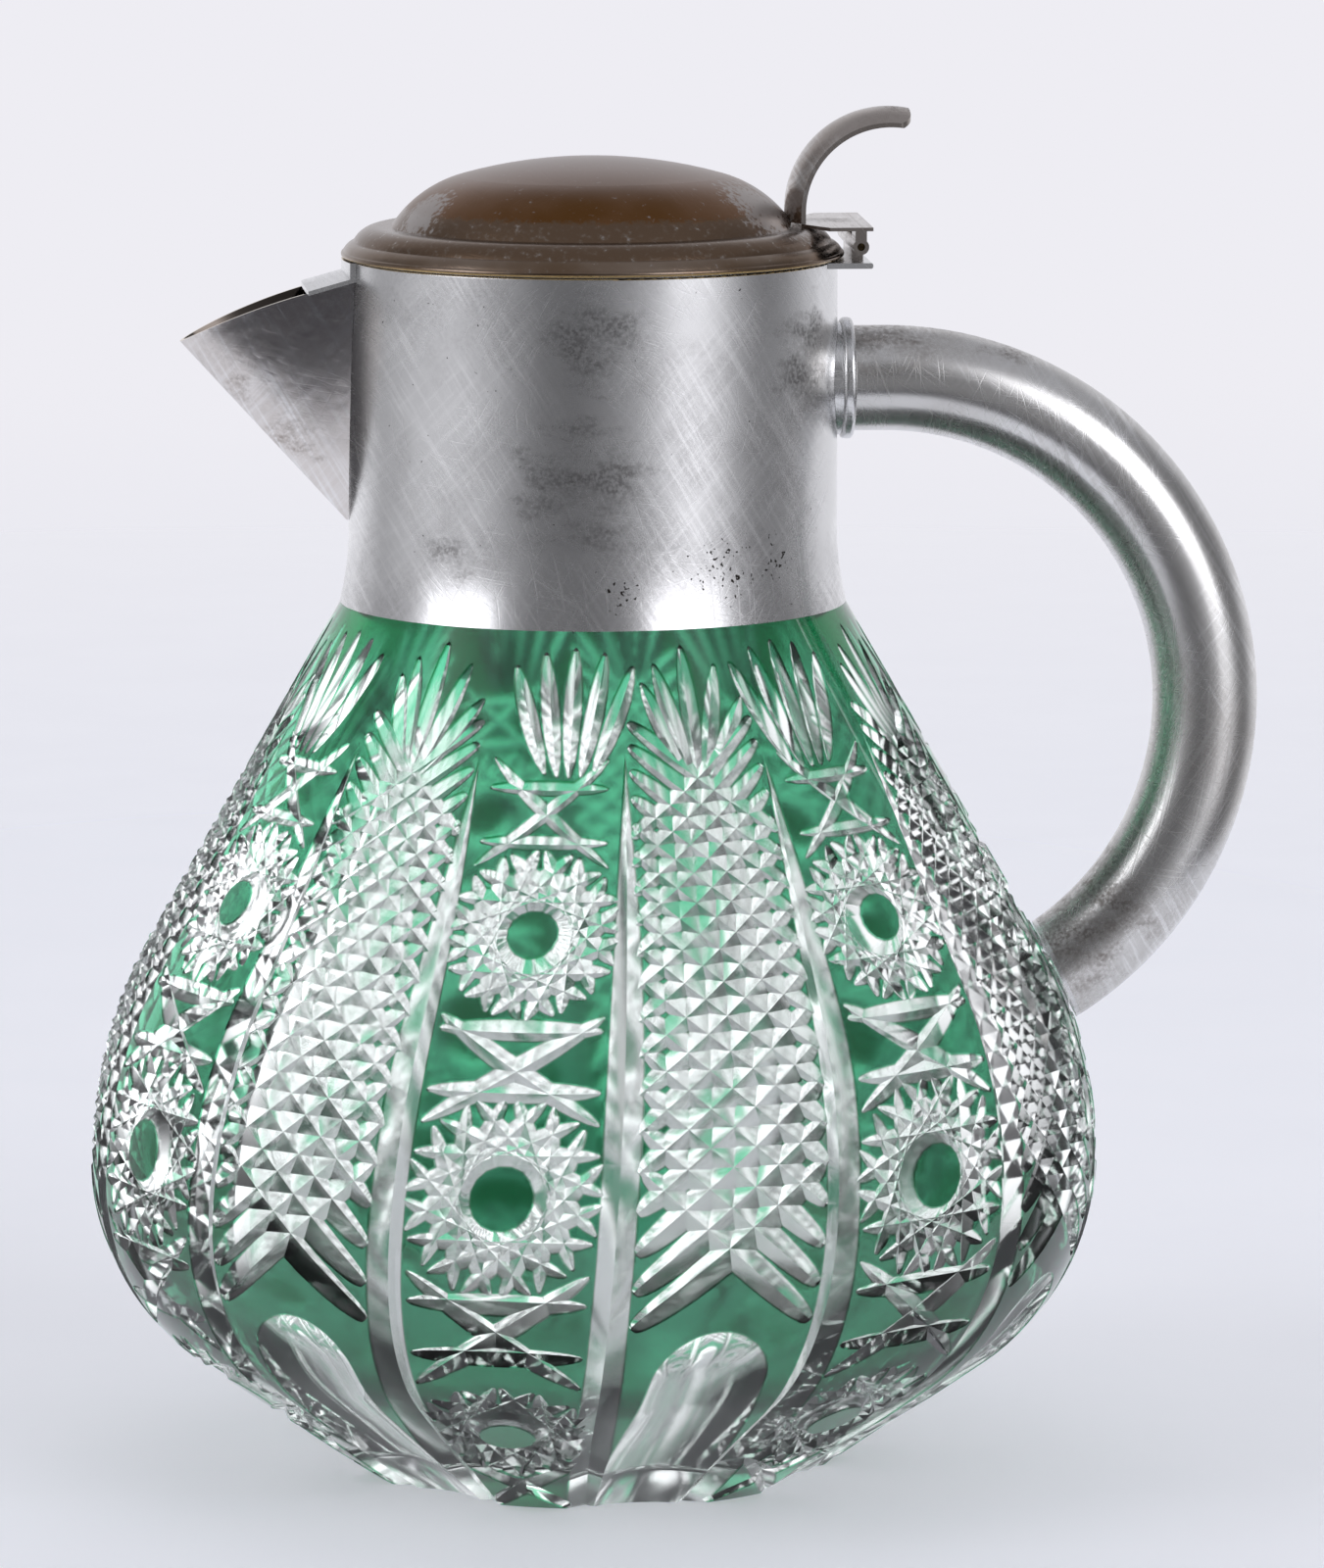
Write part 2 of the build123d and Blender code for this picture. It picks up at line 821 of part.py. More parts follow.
def lid_hinge_leaf():
    """Plate on the lid's ledge that carries the outer knuckles."""
    inner = dome_radius + lid_sheet
    outline = Polyline(
        (inner, -leaf_inner_half_width),
        (leaf_kink, -leaf_half_width),
        (leaf_reach, -leaf_half_width),
        (leaf_reach, leaf_half_width),
        (leaf_kink, leaf_half_width),
        (inner, leaf_inner_half_width),
        (inner, -leaf_inner_half_width),
    )
    plate = extrude(
        Pos(0, 0, upper_leaf_low) * make_face(outline), amount=upper_leaf_sheet
    )
    return plate - upright_cylinder(dome_radius + seat, ring_top, trim_top)


def knuckle(start, end, hole):
    """Barrel of the hinge between two places along Y."""
    barrel = cross_cylinder(knuckle_radius, start, end, hinge_reach, hinge_height)
    bore = cross_cylinder(hole, start - 1, end + 1, hinge_reach, hinge_height)
    return barrel, bore


def side_knuckle(side):
    """Outer knuckle with the neck that hangs it from the lid's leaf."""
    start = min(side * side_knuckle_start, side * leaf_half_width)
    end = start + side_knuckle_length
    barrel, bore = knuckle(start, end, pin_radius + pin_clearance)
    half = knuckle_neck_width / 2
    neck = box_between(
        (hinge_reach - half, start, hinge_height),
        (hinge_reach + half, end, upper_leaf_low),
    )
    return barrel + neck - bore


def collar_hinge_leaf():
    """Plate soldered to the collar under the hinge."""
    plate = box_between(
        (collar_radius * 0.8, -leaf_half_width, collar_top - lower_leaf_sheet),
        (leaf_reach, leaf_half_width, collar_top),
    )
    outer = plate.edges().filter_by(Axis.Y).group_by(Axis.X)[-1]
    plate = fillet(outer, lower_leaf_sheet * 0.4)
    return plate - upright_cylinder(collar_radius + seat, collar_bottom, trim_top)


def collar_hinge_knuckle():
    """Centre knuckle with its neck on the collar's leaf."""
    barrel, bore = knuckle(-centre_half, centre_half, pin_radius + seat)
    half = knuckle_neck_width / 2
    neck = box_between(
        (hinge_reach - half, -centre_half, collar_top),
        (hinge_reach + half, centre_half, hinge_height),
    )
    return barrel + neck - bore


def hinge_pin():
    """Pin held by the centre knuckle, a little short of the outer ends."""
    half = leaf_half_width - pin_recess
    return cross_cylinder(pin_radius, -half, half, hinge_reach, hinge_height)


# Build and save every piece

pieces = {
    "crystal_body": crystal_body,
    "plaster_bed": plaster_bed,
    "neck_collar": neck_collar,
    "spout_shell": spout_shell,
    "spout_bridge": spout_bridge,
    "handle_socket": handle_socket,
    "handle_ferrule": handle_ferrule,
    "handle_tube": handle_tube,
    "handle_end_cap": handle_end_cap,
    "collar_hinge_leaf": collar_hinge_leaf,
    "collar_hinge_knuckle": collar_hinge_knuckle,
    "hinge_pin": hinge_pin,
    "lid_rim": lid_rim,
    "lid_dome": lid_dome,
    "lid_bezel": lid_bezel,
    "lid_hinge_leaf": lid_hinge_leaf,
    "lid_knuckle_front": lambda: side_knuckle(-1),
    "lid_knuckle_back": lambda: side_knuckle(1),
    "thumb_lever": thumb_lever,
}

os.makedirs("parts", exist_ok=True)
for name, make in pieces.items():
    solid = make()
    solid.label = name
    export_step(solid, f"parts/{name}.step")
    print(name, round(solid.volume, 1))
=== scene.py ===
# %% [markdown]
# # A cut crystal jug with a metal collar and a hinged lid
# The jug is a blown, two-layer glass body: clear crystal with a thin green skin.
# A cutter has ground a pattern through the skin with stone wheels, so every cut
# shows clear glass and every place left alone stays green. Its silver-plated
# collar, spout, handle and lid come from the measured parts, which are loaded
# first, so that everything modelled here lands in the same place.

import math

import bpy
import numpy as np
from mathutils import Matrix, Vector


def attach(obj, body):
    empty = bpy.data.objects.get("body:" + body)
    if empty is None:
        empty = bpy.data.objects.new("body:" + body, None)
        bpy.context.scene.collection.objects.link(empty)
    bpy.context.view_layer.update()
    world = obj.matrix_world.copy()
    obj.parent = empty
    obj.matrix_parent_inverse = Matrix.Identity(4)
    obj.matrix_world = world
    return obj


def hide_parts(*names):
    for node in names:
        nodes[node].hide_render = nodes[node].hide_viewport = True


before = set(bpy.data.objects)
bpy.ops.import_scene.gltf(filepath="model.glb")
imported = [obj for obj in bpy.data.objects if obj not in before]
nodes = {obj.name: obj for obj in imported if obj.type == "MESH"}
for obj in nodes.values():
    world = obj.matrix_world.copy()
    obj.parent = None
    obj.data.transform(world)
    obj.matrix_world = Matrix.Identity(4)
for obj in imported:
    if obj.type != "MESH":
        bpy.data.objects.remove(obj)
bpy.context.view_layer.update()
scene = bpy.context.scene

# %% [markdown]
# ## Small helpers
# Blender works in metres and in linear colour. The jug was measured in
# millimetres and its colours were picked as sRGB hex values, so a constant and a
# short function convert them. Another function adds any node with its settings
# and links, which keeps each node tree readable. Two settings that come back often
# have names: soft ends for Map Range nodes, and colour for Mix nodes, whose share,
# lower colour and upper colour are inputs 0, 6 and 7.

# %% Units, colours and nodes
MM = 0.001
SOFT = {"interpolation_type": "SMOOTHSTEP"}
COLOUR = {"data_type": "RGBA"}
SHARE, UNDER, OVER = 0, 6, 7


def linear(hex_colour):
    """sRGB hex such as "4aa478" as linear RGBA."""
    parts = [int(hex_colour[i : i + 2], 16) / 255 for i in (0, 2, 4)]
    curve = [c / 12.92 if c <= 0.04045 else ((c + 0.055) / 1.055) ** 2.4 for c in parts]
    return (*curve, 1.0)


def add_node(tree, kind, links=(), **settings):
    """Adds a node; links fills its inputs, in order (list) or by key (dict).

    Each input takes a number, a vector, a hex colour, another node's output, or
    another node, whose first enabled output is then meant.
    """
    made = tree.nodes.new(kind)
    for name, value in settings.items():
        setattr(made, name, value)
    for key, value in links.items() if isinstance(links, dict) else enumerate(links):
        if isinstance(value, bpy.types.Node):
            value = next(output for output in value.outputs if output.enabled)
        if isinstance(value, bpy.types.NodeSocket):
            tree.links.new(value, made.inputs[key])
        else:
            value = linear(value) if isinstance(value, str) else value
            made.inputs[key].default_value = value
    return made


def new_material(name):
    """Material without nodes, and its node tree."""
    material = bpy.data.materials.new(name)
    material.use_nodes = True
    material.node_tree.nodes.clear()
    return material, material.node_tree


def mesh_object(name, points, faces):
    """Object from points in millimetres and faces."""
    mesh = bpy.data.meshes.new(name)
    mesh.from_pydata([tuple(p) for p in np.asarray(points) * MM], [], faces)
    mesh.update()
    made = bpy.data.objects.new(name, mesh)
    scene.collection.objects.link(made)
    return made


print("sRGB 80 in linear light:", round(linear("808080")[0], 3))

# %% [markdown]
# ## The shape of the glass wall
# Seen from the side the wall is a straight cone at the foot, a tight arc below
# the belly, a wide arc above it and a straight shoulder. Every cut follows this
# wall, so it is written once as a function of s, the distance walked up the wall
# from the foot. A place on the glass is then an angle round the jug and an s,
# like longitude and latitude.

# %% Wall profile
FOOT_RADIUS = 46.4
BODY_RADIUS = 99.5
BELLY_HEIGHT = 62.0
LOW_SLOPE = math.radians(54.5)
HIGH_SLOPE = math.radians(29.7)
HIGH_ARC = 84.0
LOW_ARC = (
    BELLY_HEIGHT * math.sin(LOW_SLOPE)
    - (BODY_RADIUS - FOOT_RADIUS) * math.cos(LOW_SLOPE)
) / (1 - math.cos(LOW_SLOPE))
COLLAR_BOTTOM = 171.97
GLASS_WALL = 6.5

LOW_TURN_R = BODY_RADIUS - LOW_ARC
HIGH_TURN_R = BODY_RADIUS - HIGH_ARC
LOW_TANGENT_Z = BELLY_HEIGHT - LOW_ARC * math.sin(LOW_SLOPE)
S_LOW = LOW_TANGENT_Z / math.cos(LOW_SLOPE)
S_BELLY = S_LOW + LOW_ARC * LOW_SLOPE
S_HIGH = S_BELLY + HIGH_ARC * HIGH_SLOPE
HIGH_TANGENT_Z = BELLY_HEIGHT + HIGH_ARC * math.sin(HIGH_SLOPE)
S_TOP = S_HIGH + (COLLAR_BOTTOM - HIGH_TANGENT_Z) / math.cos(HIGH_SLOPE)


def wall(s, out=0.0):
    """Radius, height and slope angle of the normal at s, moved outwards."""
    s = np.asarray(s, float)
    turn_low = -LOW_SLOPE + (s - S_LOW) / LOW_ARC
    turn_high = (s - S_BELLY) / HIGH_ARC
    tilt = np.where(s < S_BELLY, turn_low, turn_high)
    tilt = np.clip(tilt, -LOW_SLOPE, HIGH_SLOPE)
    arc = np.where(s < S_BELLY, LOW_ARC, HIGH_ARC)
    turn_r = BODY_RADIUS - arc
    past = np.where(s < S_LOW, s - S_LOW, np.where(s > S_HIGH, s - S_HIGH, 0.0))
    r = turn_r + (arc + out) * np.cos(tilt) - past * np.sin(tilt)
    z = BELLY_HEIGHT + (arc + out) * np.sin(tilt) + past * np.cos(tilt)
    return r, z, tilt


print("wall length:", round(S_TOP, 1), "mm, belly at", round(S_BELLY, 1))

# %% [markdown]
# ## The blank
# The uncut body is turned round its axis like the blown blank: an outline from
# the middle of the foot, up the wall, over the hidden neck and down the inside.
# The outside gets a fine grid because the cuts are made in it.

# %% Uncut body
COLUMNS = 7
RING_STEPS = COLUMNS * 28
NECK_BORE = 40.4
NECK_OUTSIDE = [(47.62, COLLAR_BOTTOM), (45.4, 179.0), (45.4, 184.8), (45.05, 185.65),
                (44.2, 186.0), (NECK_BORE, 186.0)]
GLASS_FLOOR = 11.0
FLOOR_BEND = 7.0


def blank_outline():
    """Outline of the blank as (radius, height), from axis to axis."""
    r, z, _ = wall(np.linspace(0, S_TOP, 71))
    points = [(25.0, 0.0), (FOOT_RADIUS - 1.0, 0.0)] + list(zip(r, z)) + NECK_OUTSIDE
    inner_low = LOW_ARC - GLASS_WALL
    inner_high = HIGH_ARC - GLASS_WALL
    for turn in np.linspace(HIGH_SLOPE, 0, 9):
        r = HIGH_TURN_R + inner_high * math.cos(turn)
        z = BELLY_HEIGHT + inner_high * math.sin(turn)
        if turn == HIGH_SLOPE:
            meet = z + (r - NECK_BORE) / math.tan(HIGH_SLOPE)
            points += [(NECK_BORE + (r - NECK_BORE) * t, meet + (z - meet) * t)
                       for t in np.linspace(0, 1, 16)[:-1]]
        points.append((r, z))
    for turn in np.linspace(0, -LOW_SLOPE, 10)[1:]:
        r = LOW_TURN_R + inner_low * math.cos(turn)
        z = BELLY_HEIGHT + inner_low * math.sin(turn)
        points.append((r, z))
    corner = r - (z - GLASS_FLOOR) * math.tan(LOW_SLOPE)
    bend = FLOOR_BEND * math.tan((math.pi / 2 - LOW_SLOPE) / 2)
    for turn in np.linspace(0, math.pi / 2 - LOW_SLOPE, 6)[::-1]:
        points.append((corner - bend + FLOOR_BEND * math.sin(turn),
                       GLASS_FLOOR + FLOOR_BEND - FLOOR_BEND * math.cos(turn)))
    points += [(30.0, GLASS_FLOOR), (14.0, GLASS_FLOOR)]
    return points


def turned(name, outline):
    """Solid of revolution; both ends of its outline close on the axis."""
    ring = np.linspace(0, 2 * math.pi, RING_STEPS, endpoint=False)
    points = [(r * math.cos(a), r * math.sin(a), z) for r, z in outline for a in ring]
    last_row = (len(outline) - 1) * RING_STEPS
    faces = []
    for low in range(0, last_row, RING_STEPS):
        high = low + RING_STEPS
        for i in range(RING_STEPS):
            j = (i + 1) % RING_STEPS
            faces.append((low + i, low + j, high + j, high + i))
    outer, inner = len(points), len(points) + 1
    points += [(0, 0, outline[0][1]), (0, 0, outline[-1][1])]
    for i in range(RING_STEPS):
        j = (i + 1) % RING_STEPS
        faces.append((outer, j, i))
        faces.append((inner, last_row + i, last_row + j))
    return mesh_object(name, points, faces)


blank = turned("blank", blank_outline())
print("blank faces:", len(blank.data.polygons))

# %% [markdown]
# ## One stroke of the cutter's wheel
# A mitre wheel leaves a V groove that is deepest in its middle and runs out to a
# point at both ends, like a boat's hull. Here each groove is a closed wedge that
# follows the wall: three points at each step, one at the groove's bottom and two
# above the glass. The jug's grooves lean over with the wall, because the cutter
# worked by eye: the whole pattern twists by a few degrees from top to bottom.

# %% Groove cutters
V_ANGLE = math.radians(57)
WEDGE_RISE = 0.6
RUN_OUT = -0.25
TWIST_MIDDLE = 85
TWIST = (-1.1, 0.04276, -0.000103)
wedge_points = []
wedge_faces = []


def twist(s):
    """Degrees by which the hand-cut pattern leans at s."""
    up = s - TWIST_MIDDLE
    return TWIST[0] + TWIST[1] * up + TWIST[2] * up**2


def on_wall(angle, s):
    """Points on the wall and their outward directions, for angles in degrees."""
    r, z, tilt = wall(s)
    a = np.radians(angle + twist(s))
    points = np.stack([r * np.cos(a), r * np.sin(a), z], axis=-1)
    out = np.stack([np.cos(tilt) * np.cos(a), np.cos(tilt) * np.sin(a), np.sin(tilt)], -1)
    return points, out


def add_loops(loops):
    """Closed skin over a row of loops that each have the same number of points."""
    count, size, _ = loops.shape
    base = len(wedge_points)
    volume = np.einsum(
        "ij,ij->i",
        np.cross(loops[0, 1:-1] - loops[0, 0], loops[0, 2:] - loops[0, 0]),
        np.repeat((loops[1] - loops[0]).mean(0)[None], size - 2, 0),
    ).sum()
    order = list(range(size)) if volume > 0 else list(range(size))[::-1]
    wedge_points.extend(loops.reshape(-1, 3))
    for row in range(count - 1):
        for i in range(size):
            a, b = order[i], order[(i + 1) % size]
            low, high = base + row * size, base + (row + 1) * size
            wedge_faces.append((low + a, low + b, high + b, high + a))
    wedge_faces.append(tuple(base + i for i in order[::-1]))
    wedge_faces.append(tuple(base + (count - 1) * size + i for i in order))


def groove(angles, s, half_widths, v_angle=V_ANGLE):
    """V groove along a line on the wall, with its half width at each step."""
    points, out = on_wall(angles, s)
    along = np.gradient(points, axis=0)
    side = np.cross(out, along)
    side /= np.linalg.norm(side, axis=1)[:, None]
    depth = np.asarray(half_widths) / math.tan(v_angle)
    reach = ((depth + WEDGE_RISE) * math.tan(v_angle))[:, None]
    top = points + WEDGE_RISE * out
    bottom = points - depth[:, None] * out
    add_loops(np.stack([bottom, top + reach * side, top - reach * side], axis=1))


def boat(count, width, power=0.5):
    """Steps from -1 to 1 that crowd at the ends, and the half width at each."""
    t = -np.cos(np.linspace(0, math.pi, count))
    half = width * np.clip(1 - t**2, 0, 1) ** power
    half[0] = half[-1] = RUN_OUT
    return t, half


def stroke(start, end, width, power=0.5):
    """Straight boat-shaped groove between two places given as (degrees, s)."""
    middle_r = float(wall((start[1] + end[1]) / 2)[0])
    run = math.hypot(math.radians(end[0] - start[0]) * middle_r, end[1] - start[1])
    t, half = boat(max(9, int(run / 3.0)), width, power)
    share = (t + 1) / 2
    angles = start[0] + (end[0] - start[0]) * share
    groove(angles, start[1] + (end[1] - start[1]) * share, half)


print("pattern's lean, foot to collar:", round(float(twist(S_TOP) - twist(0)), 1), "degrees")

# %% [markdown]
# ## Dividers, stars and bands
# The seven star columns are set between long mitres. Each star has sixteen
# straight grooves: eight directions, and in each direction two grooves at the
# same distance either side of the centre. Together they leave a round green
# button in the middle. Bands of two level and two crossing grooves part the stars.

# %% Star column
COLUMN_STEP = 360 / COLUMNS
DIVIDER = COLUMN_STEP / 4
PANEL_HALF = 10.4
STARS = ((146.1, 17.5, 7.2, 2.7), (94.8, 20.1, 8.3, 2.5), (34.5, 20.0, 8.0, 2.8))
BANDS = ((175.7, 164.7, 182.0, 159.3, 1.7), (127.0, 115.0, 130.0, 108.5, 2.5),
         (74.3, 62.5, 80.5, 54.0, 2.6))


def divider(angle):
    """Long mitre from the foot to a sharp point below the collar."""
    s = np.concatenate([np.linspace(-6, 108, 36), np.linspace(111, 184, 24)])
    climb = np.clip((s - 110) / 73, 0, 1)
    half = 4.0 * (1 - climb**1.7)
    half[-1] = RUN_OUT
    groove(np.full_like(s, angle), s, half, math.radians(62))


def star(s_centre, tip_radius, offset, width):
    """Sixteen grooves round a button."""
    length = math.sqrt(tip_radius**2 - offset**2)
    t, half = boat(13, width)
    for turn in np.radians(np.arange(8) * 22.5):
        for side in (-offset, offset):
            x = t * length * math.cos(turn) - side * math.sin(turn)
            s = s_centre + t * length * math.sin(turn) + side * math.cos(turn)
            groove(np.degrees(x / wall(s)[0]), s, half)


def cross_band(high, low, top, bottom, width):
    """Two level grooves and a cross between them."""
    for s in (high, low):
        stroke((-PANEL_HALF, s), (PANEL_HALF, s), width)
    for lean in (-1, 1):
        stroke((-lean * PANEL_HALF, top), (lean * PANEL_HALF, bottom), width)


for side in (-1, 1):
    divider(side * DIVIDER)
for measures in STARS:
    star(*measures)
for measures in BANDS:
    cross_band(*measures)
for lean in (-1, 1):
    stroke((-lean * 10.8, 21.0), (lean * 10.8, -1.0), 2.4)
print("faces on a star column's cutters:", len(wedge_faces))

# %% [markdown]
# ## Diamonds, fans and flutes
# Between two star columns lies a panel of diamonds. Two families of grooves
# cross at the same angle everywhere, so the diamonds shrink together with the
# jug's girth towards the neck: they are straight lines in a map where height is
# counted in fractions of the local radius, as on a sea chart. Below them the
# green skin is left alone down to a large hollow flute ground with a round wheel.

# %% Diamond panel
GRID_START = 84.6
GRID_ROWS = 13
GRID_RISE = 0.0792
GRID_TOP = 190
GRID_SLOPE = 0.8562
HALF_PANELS = (10.5, 12.3)
DIAMOND_WIDTH = 5.3
GROOVE_SHARE = 0.58
chart_s = np.linspace(-10, S_TOP, 900)
chart_r = wall(chart_s)[0]
chart_t = np.concatenate(
    [[0], np.cumsum(np.diff(chart_s) * (1 / chart_r[1:] + 1 / chart_r[:-1]) / 2)]
)
grid_t = float(np.interp(GRID_START, chart_s, chart_t))
panel_middle = 2 * DIVIDER
grid_lean = GRID_RISE / DIAMOND_WIDTH


def grid_groove(row, lean):
    """One oblique groove through a crossing on the panel's middle line."""
    t, share = boat(19, 1.0, 0.3)
    angles = t * np.interp(row, [0, GRID_ROWS], HALF_PANELS)
    height = grid_t + row * GRID_RISE + lean * angles * grid_lean
    s = np.interp(height, chart_t, chart_s)
    spacing = np.radians(DIAMOND_WIDTH) * wall(s)[0] * math.sin(math.atan(GRID_SLOPE))
    half = np.where(share > 0, share * spacing * GROOVE_SHARE, share)
    if s.max() < GRID_TOP:
        groove(panel_middle + angles, s, half)


for row in range(GRID_ROWS + 3):
    for lean in (-1, 1):
        grid_groove(row, lean)
for foot, tip in zip((-0.9, -0.5, 0.0, 0.5, 0.9), (-9.4, -6.5, 0.0, 7.0, 11.5)):
    tip_s = 205.2 - 0.085 * tip**2
    stroke((panel_middle + foot, 175.5), (panel_middle + tip, tip_s), 2.1, 0.6)


def flute(angle):
    """Hollow of a round wheel that follows the foot and ends round."""
    radius, depth, last = 30.0, 2.9, 55.5
    lift = radius - depth
    beyond = np.linspace(0, 13.2, 12)
    s = np.concatenate([np.linspace(-9, last, 20), last + beyond[1:]])
    past = np.clip(s - last, 0, None)
    swing = np.radians(np.linspace(-38, 38, 25))
    loops = []
    for place, extra in zip(s, past):
        ball = math.sqrt(radius**2 - extra**2)
        point, out = on_wall(angle, place)
        bearing = math.radians(angle + twist(place))
        side = np.array([-math.sin(bearing), math.cos(bearing), 0.0])
        centre = point + lift * out
        loops.append([centre - ball * math.cos(a) * out + ball * math.sin(a) * side
                      for a in swing])
    add_loops(np.array(loops))


flute(panel_middle)
cutters = mesh_object("cutters", wedge_points, wedge_faces)
print("faces on one column's cutters:", len(wedge_faces))

# %% [markdown]
# Over each star column stands a fan of five leaves. The cutter set these by eye
# too, and they lean a little to one side and then the other from column to
# column, so they are kept apart from the rest and turned by a few degrees.

# %% Fans over the star columns
FAN_LEAN = -3.2
wedge_points, wedge_faces = [], []
for foot, tip, tip_s in ((-3.9, -12.2, 201.2), (-1.9, -6.3, 204.0), (0.0, 0.0, 205.0),
                         (1.9, 6.3, 204.0), (3.9, 12.2, 201.2)):
    stroke((foot, 177.2 + 0.05 * foot**2), (tip, tip_s), 2.1, 0.6)
fans = mesh_object("fans", wedge_points, wedge_faces)
print("faces on one fan:", len(wedge_faces))

# %% [markdown]
# ## Cutting all seven columns with Geometry Nodes
# The jug repeats one star column and one diamond panel seven times. A node tree
# sets one copy of the cutters on each of seven points, turns each by its share
# of the circle, splits the result into single grooves and takes them all away
# from the blank with one Mesh Boolean. The tree ends with plain mesh, because
# instances are not exported.

# %% Cut the pattern
def pattern_tree():
    """Tree that repeats the cutters round the axis and cuts them out."""
    tree = bpy.data.node_groups.new("cut_pattern", "GeometryNodeTree")
    face = tree.interface
    for name, kind in (("Geometry", "Geometry"), ("Cutters", "Object"), ("Fans", "Object"),
                       ("Columns", "Int"), ("Fan Lean", "Float"), ("Glass", "Material")):
        face.new_socket(name, in_out="INPUT", socket_type="NodeSocket" + kind)
    face.new_socket("Geometry", in_out="OUTPUT", socket_type="NodeSocketGeometry")
    given = add_node(tree, "NodeGroupInput")
    points = add_node(tree, "GeometryNodePoints", {"Count": given.outputs["Columns"]})
    index = add_node(tree, "GeometryNodeInputIndex")
    step = add_node(tree, "ShaderNodeMath", {0: 2 * math.pi, 1: given.outputs["Columns"]},
                    operation="DIVIDE")
    turn = add_node(tree, "ShaderNodeMath", {0: index.outputs[0], 1: step.outputs[0]},
                    operation="MULTIPLY")
    half_turns = add_node(tree, "ShaderNodeMath", {0: index.outputs[0], 1: math.pi},
                          operation="MULTIPLY")
    side = add_node(tree, "ShaderNodeMath", {0: half_turns.outputs[0]}, operation="COSINE")
    lean = add_node(tree, "ShaderNodeMath", {0: side.outputs[0], 1: given.outputs["Fan Lean"],
                                             2: turn.outputs[0]}, operation="MULTIPLY_ADD")
    joined = add_node(tree, "GeometryNodeJoinGeometry")
    for source, angle in (("Cutters", turn), ("Fans", lean)):
        shape = add_node(tree, "GeometryNodeObjectInfo", {"Object": given.outputs[source]})
        rotation = add_node(tree, "ShaderNodeCombineXYZ", {"Z": angle.outputs[0]})
        ring = add_node(tree, "GeometryNodeInstanceOnPoints", {
            "Points": points.outputs[0],
            "Instance": shape.outputs["Geometry"],
            "Rotation": rotation.outputs[0],
        })
        tree.links.new(ring.outputs[0], joined.inputs[0])
    plain = add_node(tree, "GeometryNodeRealizeInstances", {0: joined.outputs[0]})
    island = add_node(tree, "GeometryNodeInputMeshIsland")
    single = add_node(tree, "GeometryNodeSplitToInstances",
                      {0: plain.outputs[0], "Group ID": island.outputs[0]}, domain="FACE")
    cut = add_node(tree, "GeometryNodeMeshBoolean", operation="DIFFERENCE",
                   solver="MANIFOLD")
    tree.links.new(given.outputs["Geometry"], cut.inputs["Mesh 1"])
    tree.links.new(single.outputs[0], cut.inputs["Mesh 2"])
    real = add_node(tree, "GeometryNodeRealizeInstances", {0: cut.outputs[0]})
    finish = add_node(tree, "GeometryNodeSetMaterial", {
        "Geometry": real.outputs[0], "Material": given.outputs["Glass"],
    })
    add_node(tree, "NodeGroupOutput", {0: finish.outputs[0]})
    return tree


def plain_mesh(name, carrier, tree, values):
    """Runs a tree on an object and returns the result as a plain mesh object."""
    modifier = carrier.modifiers.new("nodes", "NODES")
    modifier.node_group = tree
    for item in tree.interface.items_tree:
        if item.in_out == "INPUT" and item.name in values:
            modifier[item.identifier] = values[item.name]
    bpy.context.view_layer.update()
    settled = carrier.evaluated_get(bpy.context.evaluated_depsgraph_get())
    mesh = bpy.data.meshes.new_from_object(settled)
    carrier.modifiers.remove(modifier)
    mesh.name = name
    made = bpy.data.objects.new(name, mesh)
    scene.collection.objects.link(made)
    return made


glass, glass_tree = new_material("cased_lead_crystal")
body = plain_mesh("cut_crystal", blank, pattern_tree(),
                  {"Cutters": cutters, "Fans": fans, "Columns": COLUMNS,
                   "Fan Lean": math.radians(FAN_LEAN), "Glass": glass})
print("cut body faces:", len(body.data.polygons), "points:", len(body.data.vertices))

# %% [markdown]
# ## Depth below the skin
# The green skin is only a few tenths of a millimetre thick. The material has to
# know how deep each point lies below the uncut wall, so that depth is measured
# here from the wall's own arcs and stored on the points as an attribute. Edges
# between a cut and the wall are marked sharp, and the rest is shaded smooth.

# %% Store the depth and shade the body
DEEPEST = 5.0
GLASS_EDGE = 14


def depth_below_wall(points):
    """Millimetres below the uncut outside for points in millimetres."""
    r = np.hypot(points[:, 0], points[:, 1])
    z = points[:, 2]
    low = z < BELLY_HEIGHT
    turn_r = np.where(low, LOW_TURN_R, HIGH_TURN_R)
    arc = np.where(low, LOW_ARC, HIGH_ARC)
    tilt = np.arctan2(z - BELLY_HEIGHT, r - turn_r)
    round_depth = arc - np.hypot(r - turn_r, z - BELLY_HEIGHT)
    slope = np.where(low, -LOW_SLOPE, HIGH_SLOPE)
    straight = arc - (r - turn_r) * np.cos(slope) - (z - BELLY_HEIGHT) * np.sin(slope)
    on_arc = (tilt > -LOW_SLOPE) & (tilt < HIGH_SLOPE)
    depth = np.where(on_arc, round_depth, straight)
    hidden = (z > COLLAR_BOTTOM - 0.01) & (r < 49.0)
    return np.where(hidden, DEEPEST, np.clip(depth, 0, DEEPEST))


def shade_by_angle(made, degrees):
    """Smooth faces with sharp edges above an angle."""
    made.data.shade_smooth()
    made.data.set_sharp_from_angle(angle=math.radians(degrees))


places = np.zeros(len(body.data.vertices) * 3)
body.data.vertices.foreach_get("co", places)
depth = depth_below_wall(places.reshape(-1, 3) / MM)
stored = body.data.attributes.new("cut_depth", "FLOAT", "POINT")
stored.data.foreach_set("value", depth.astype(np.float32))
shade_by_angle(body, GLASS_EDGE)
for used in (blank, cutters, fans):
    bpy.data.objects.remove(used)
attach(body, "jug")
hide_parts("crystal_body")
print("share of points in the skin:", round(float((depth < 0.3).mean()), 2))

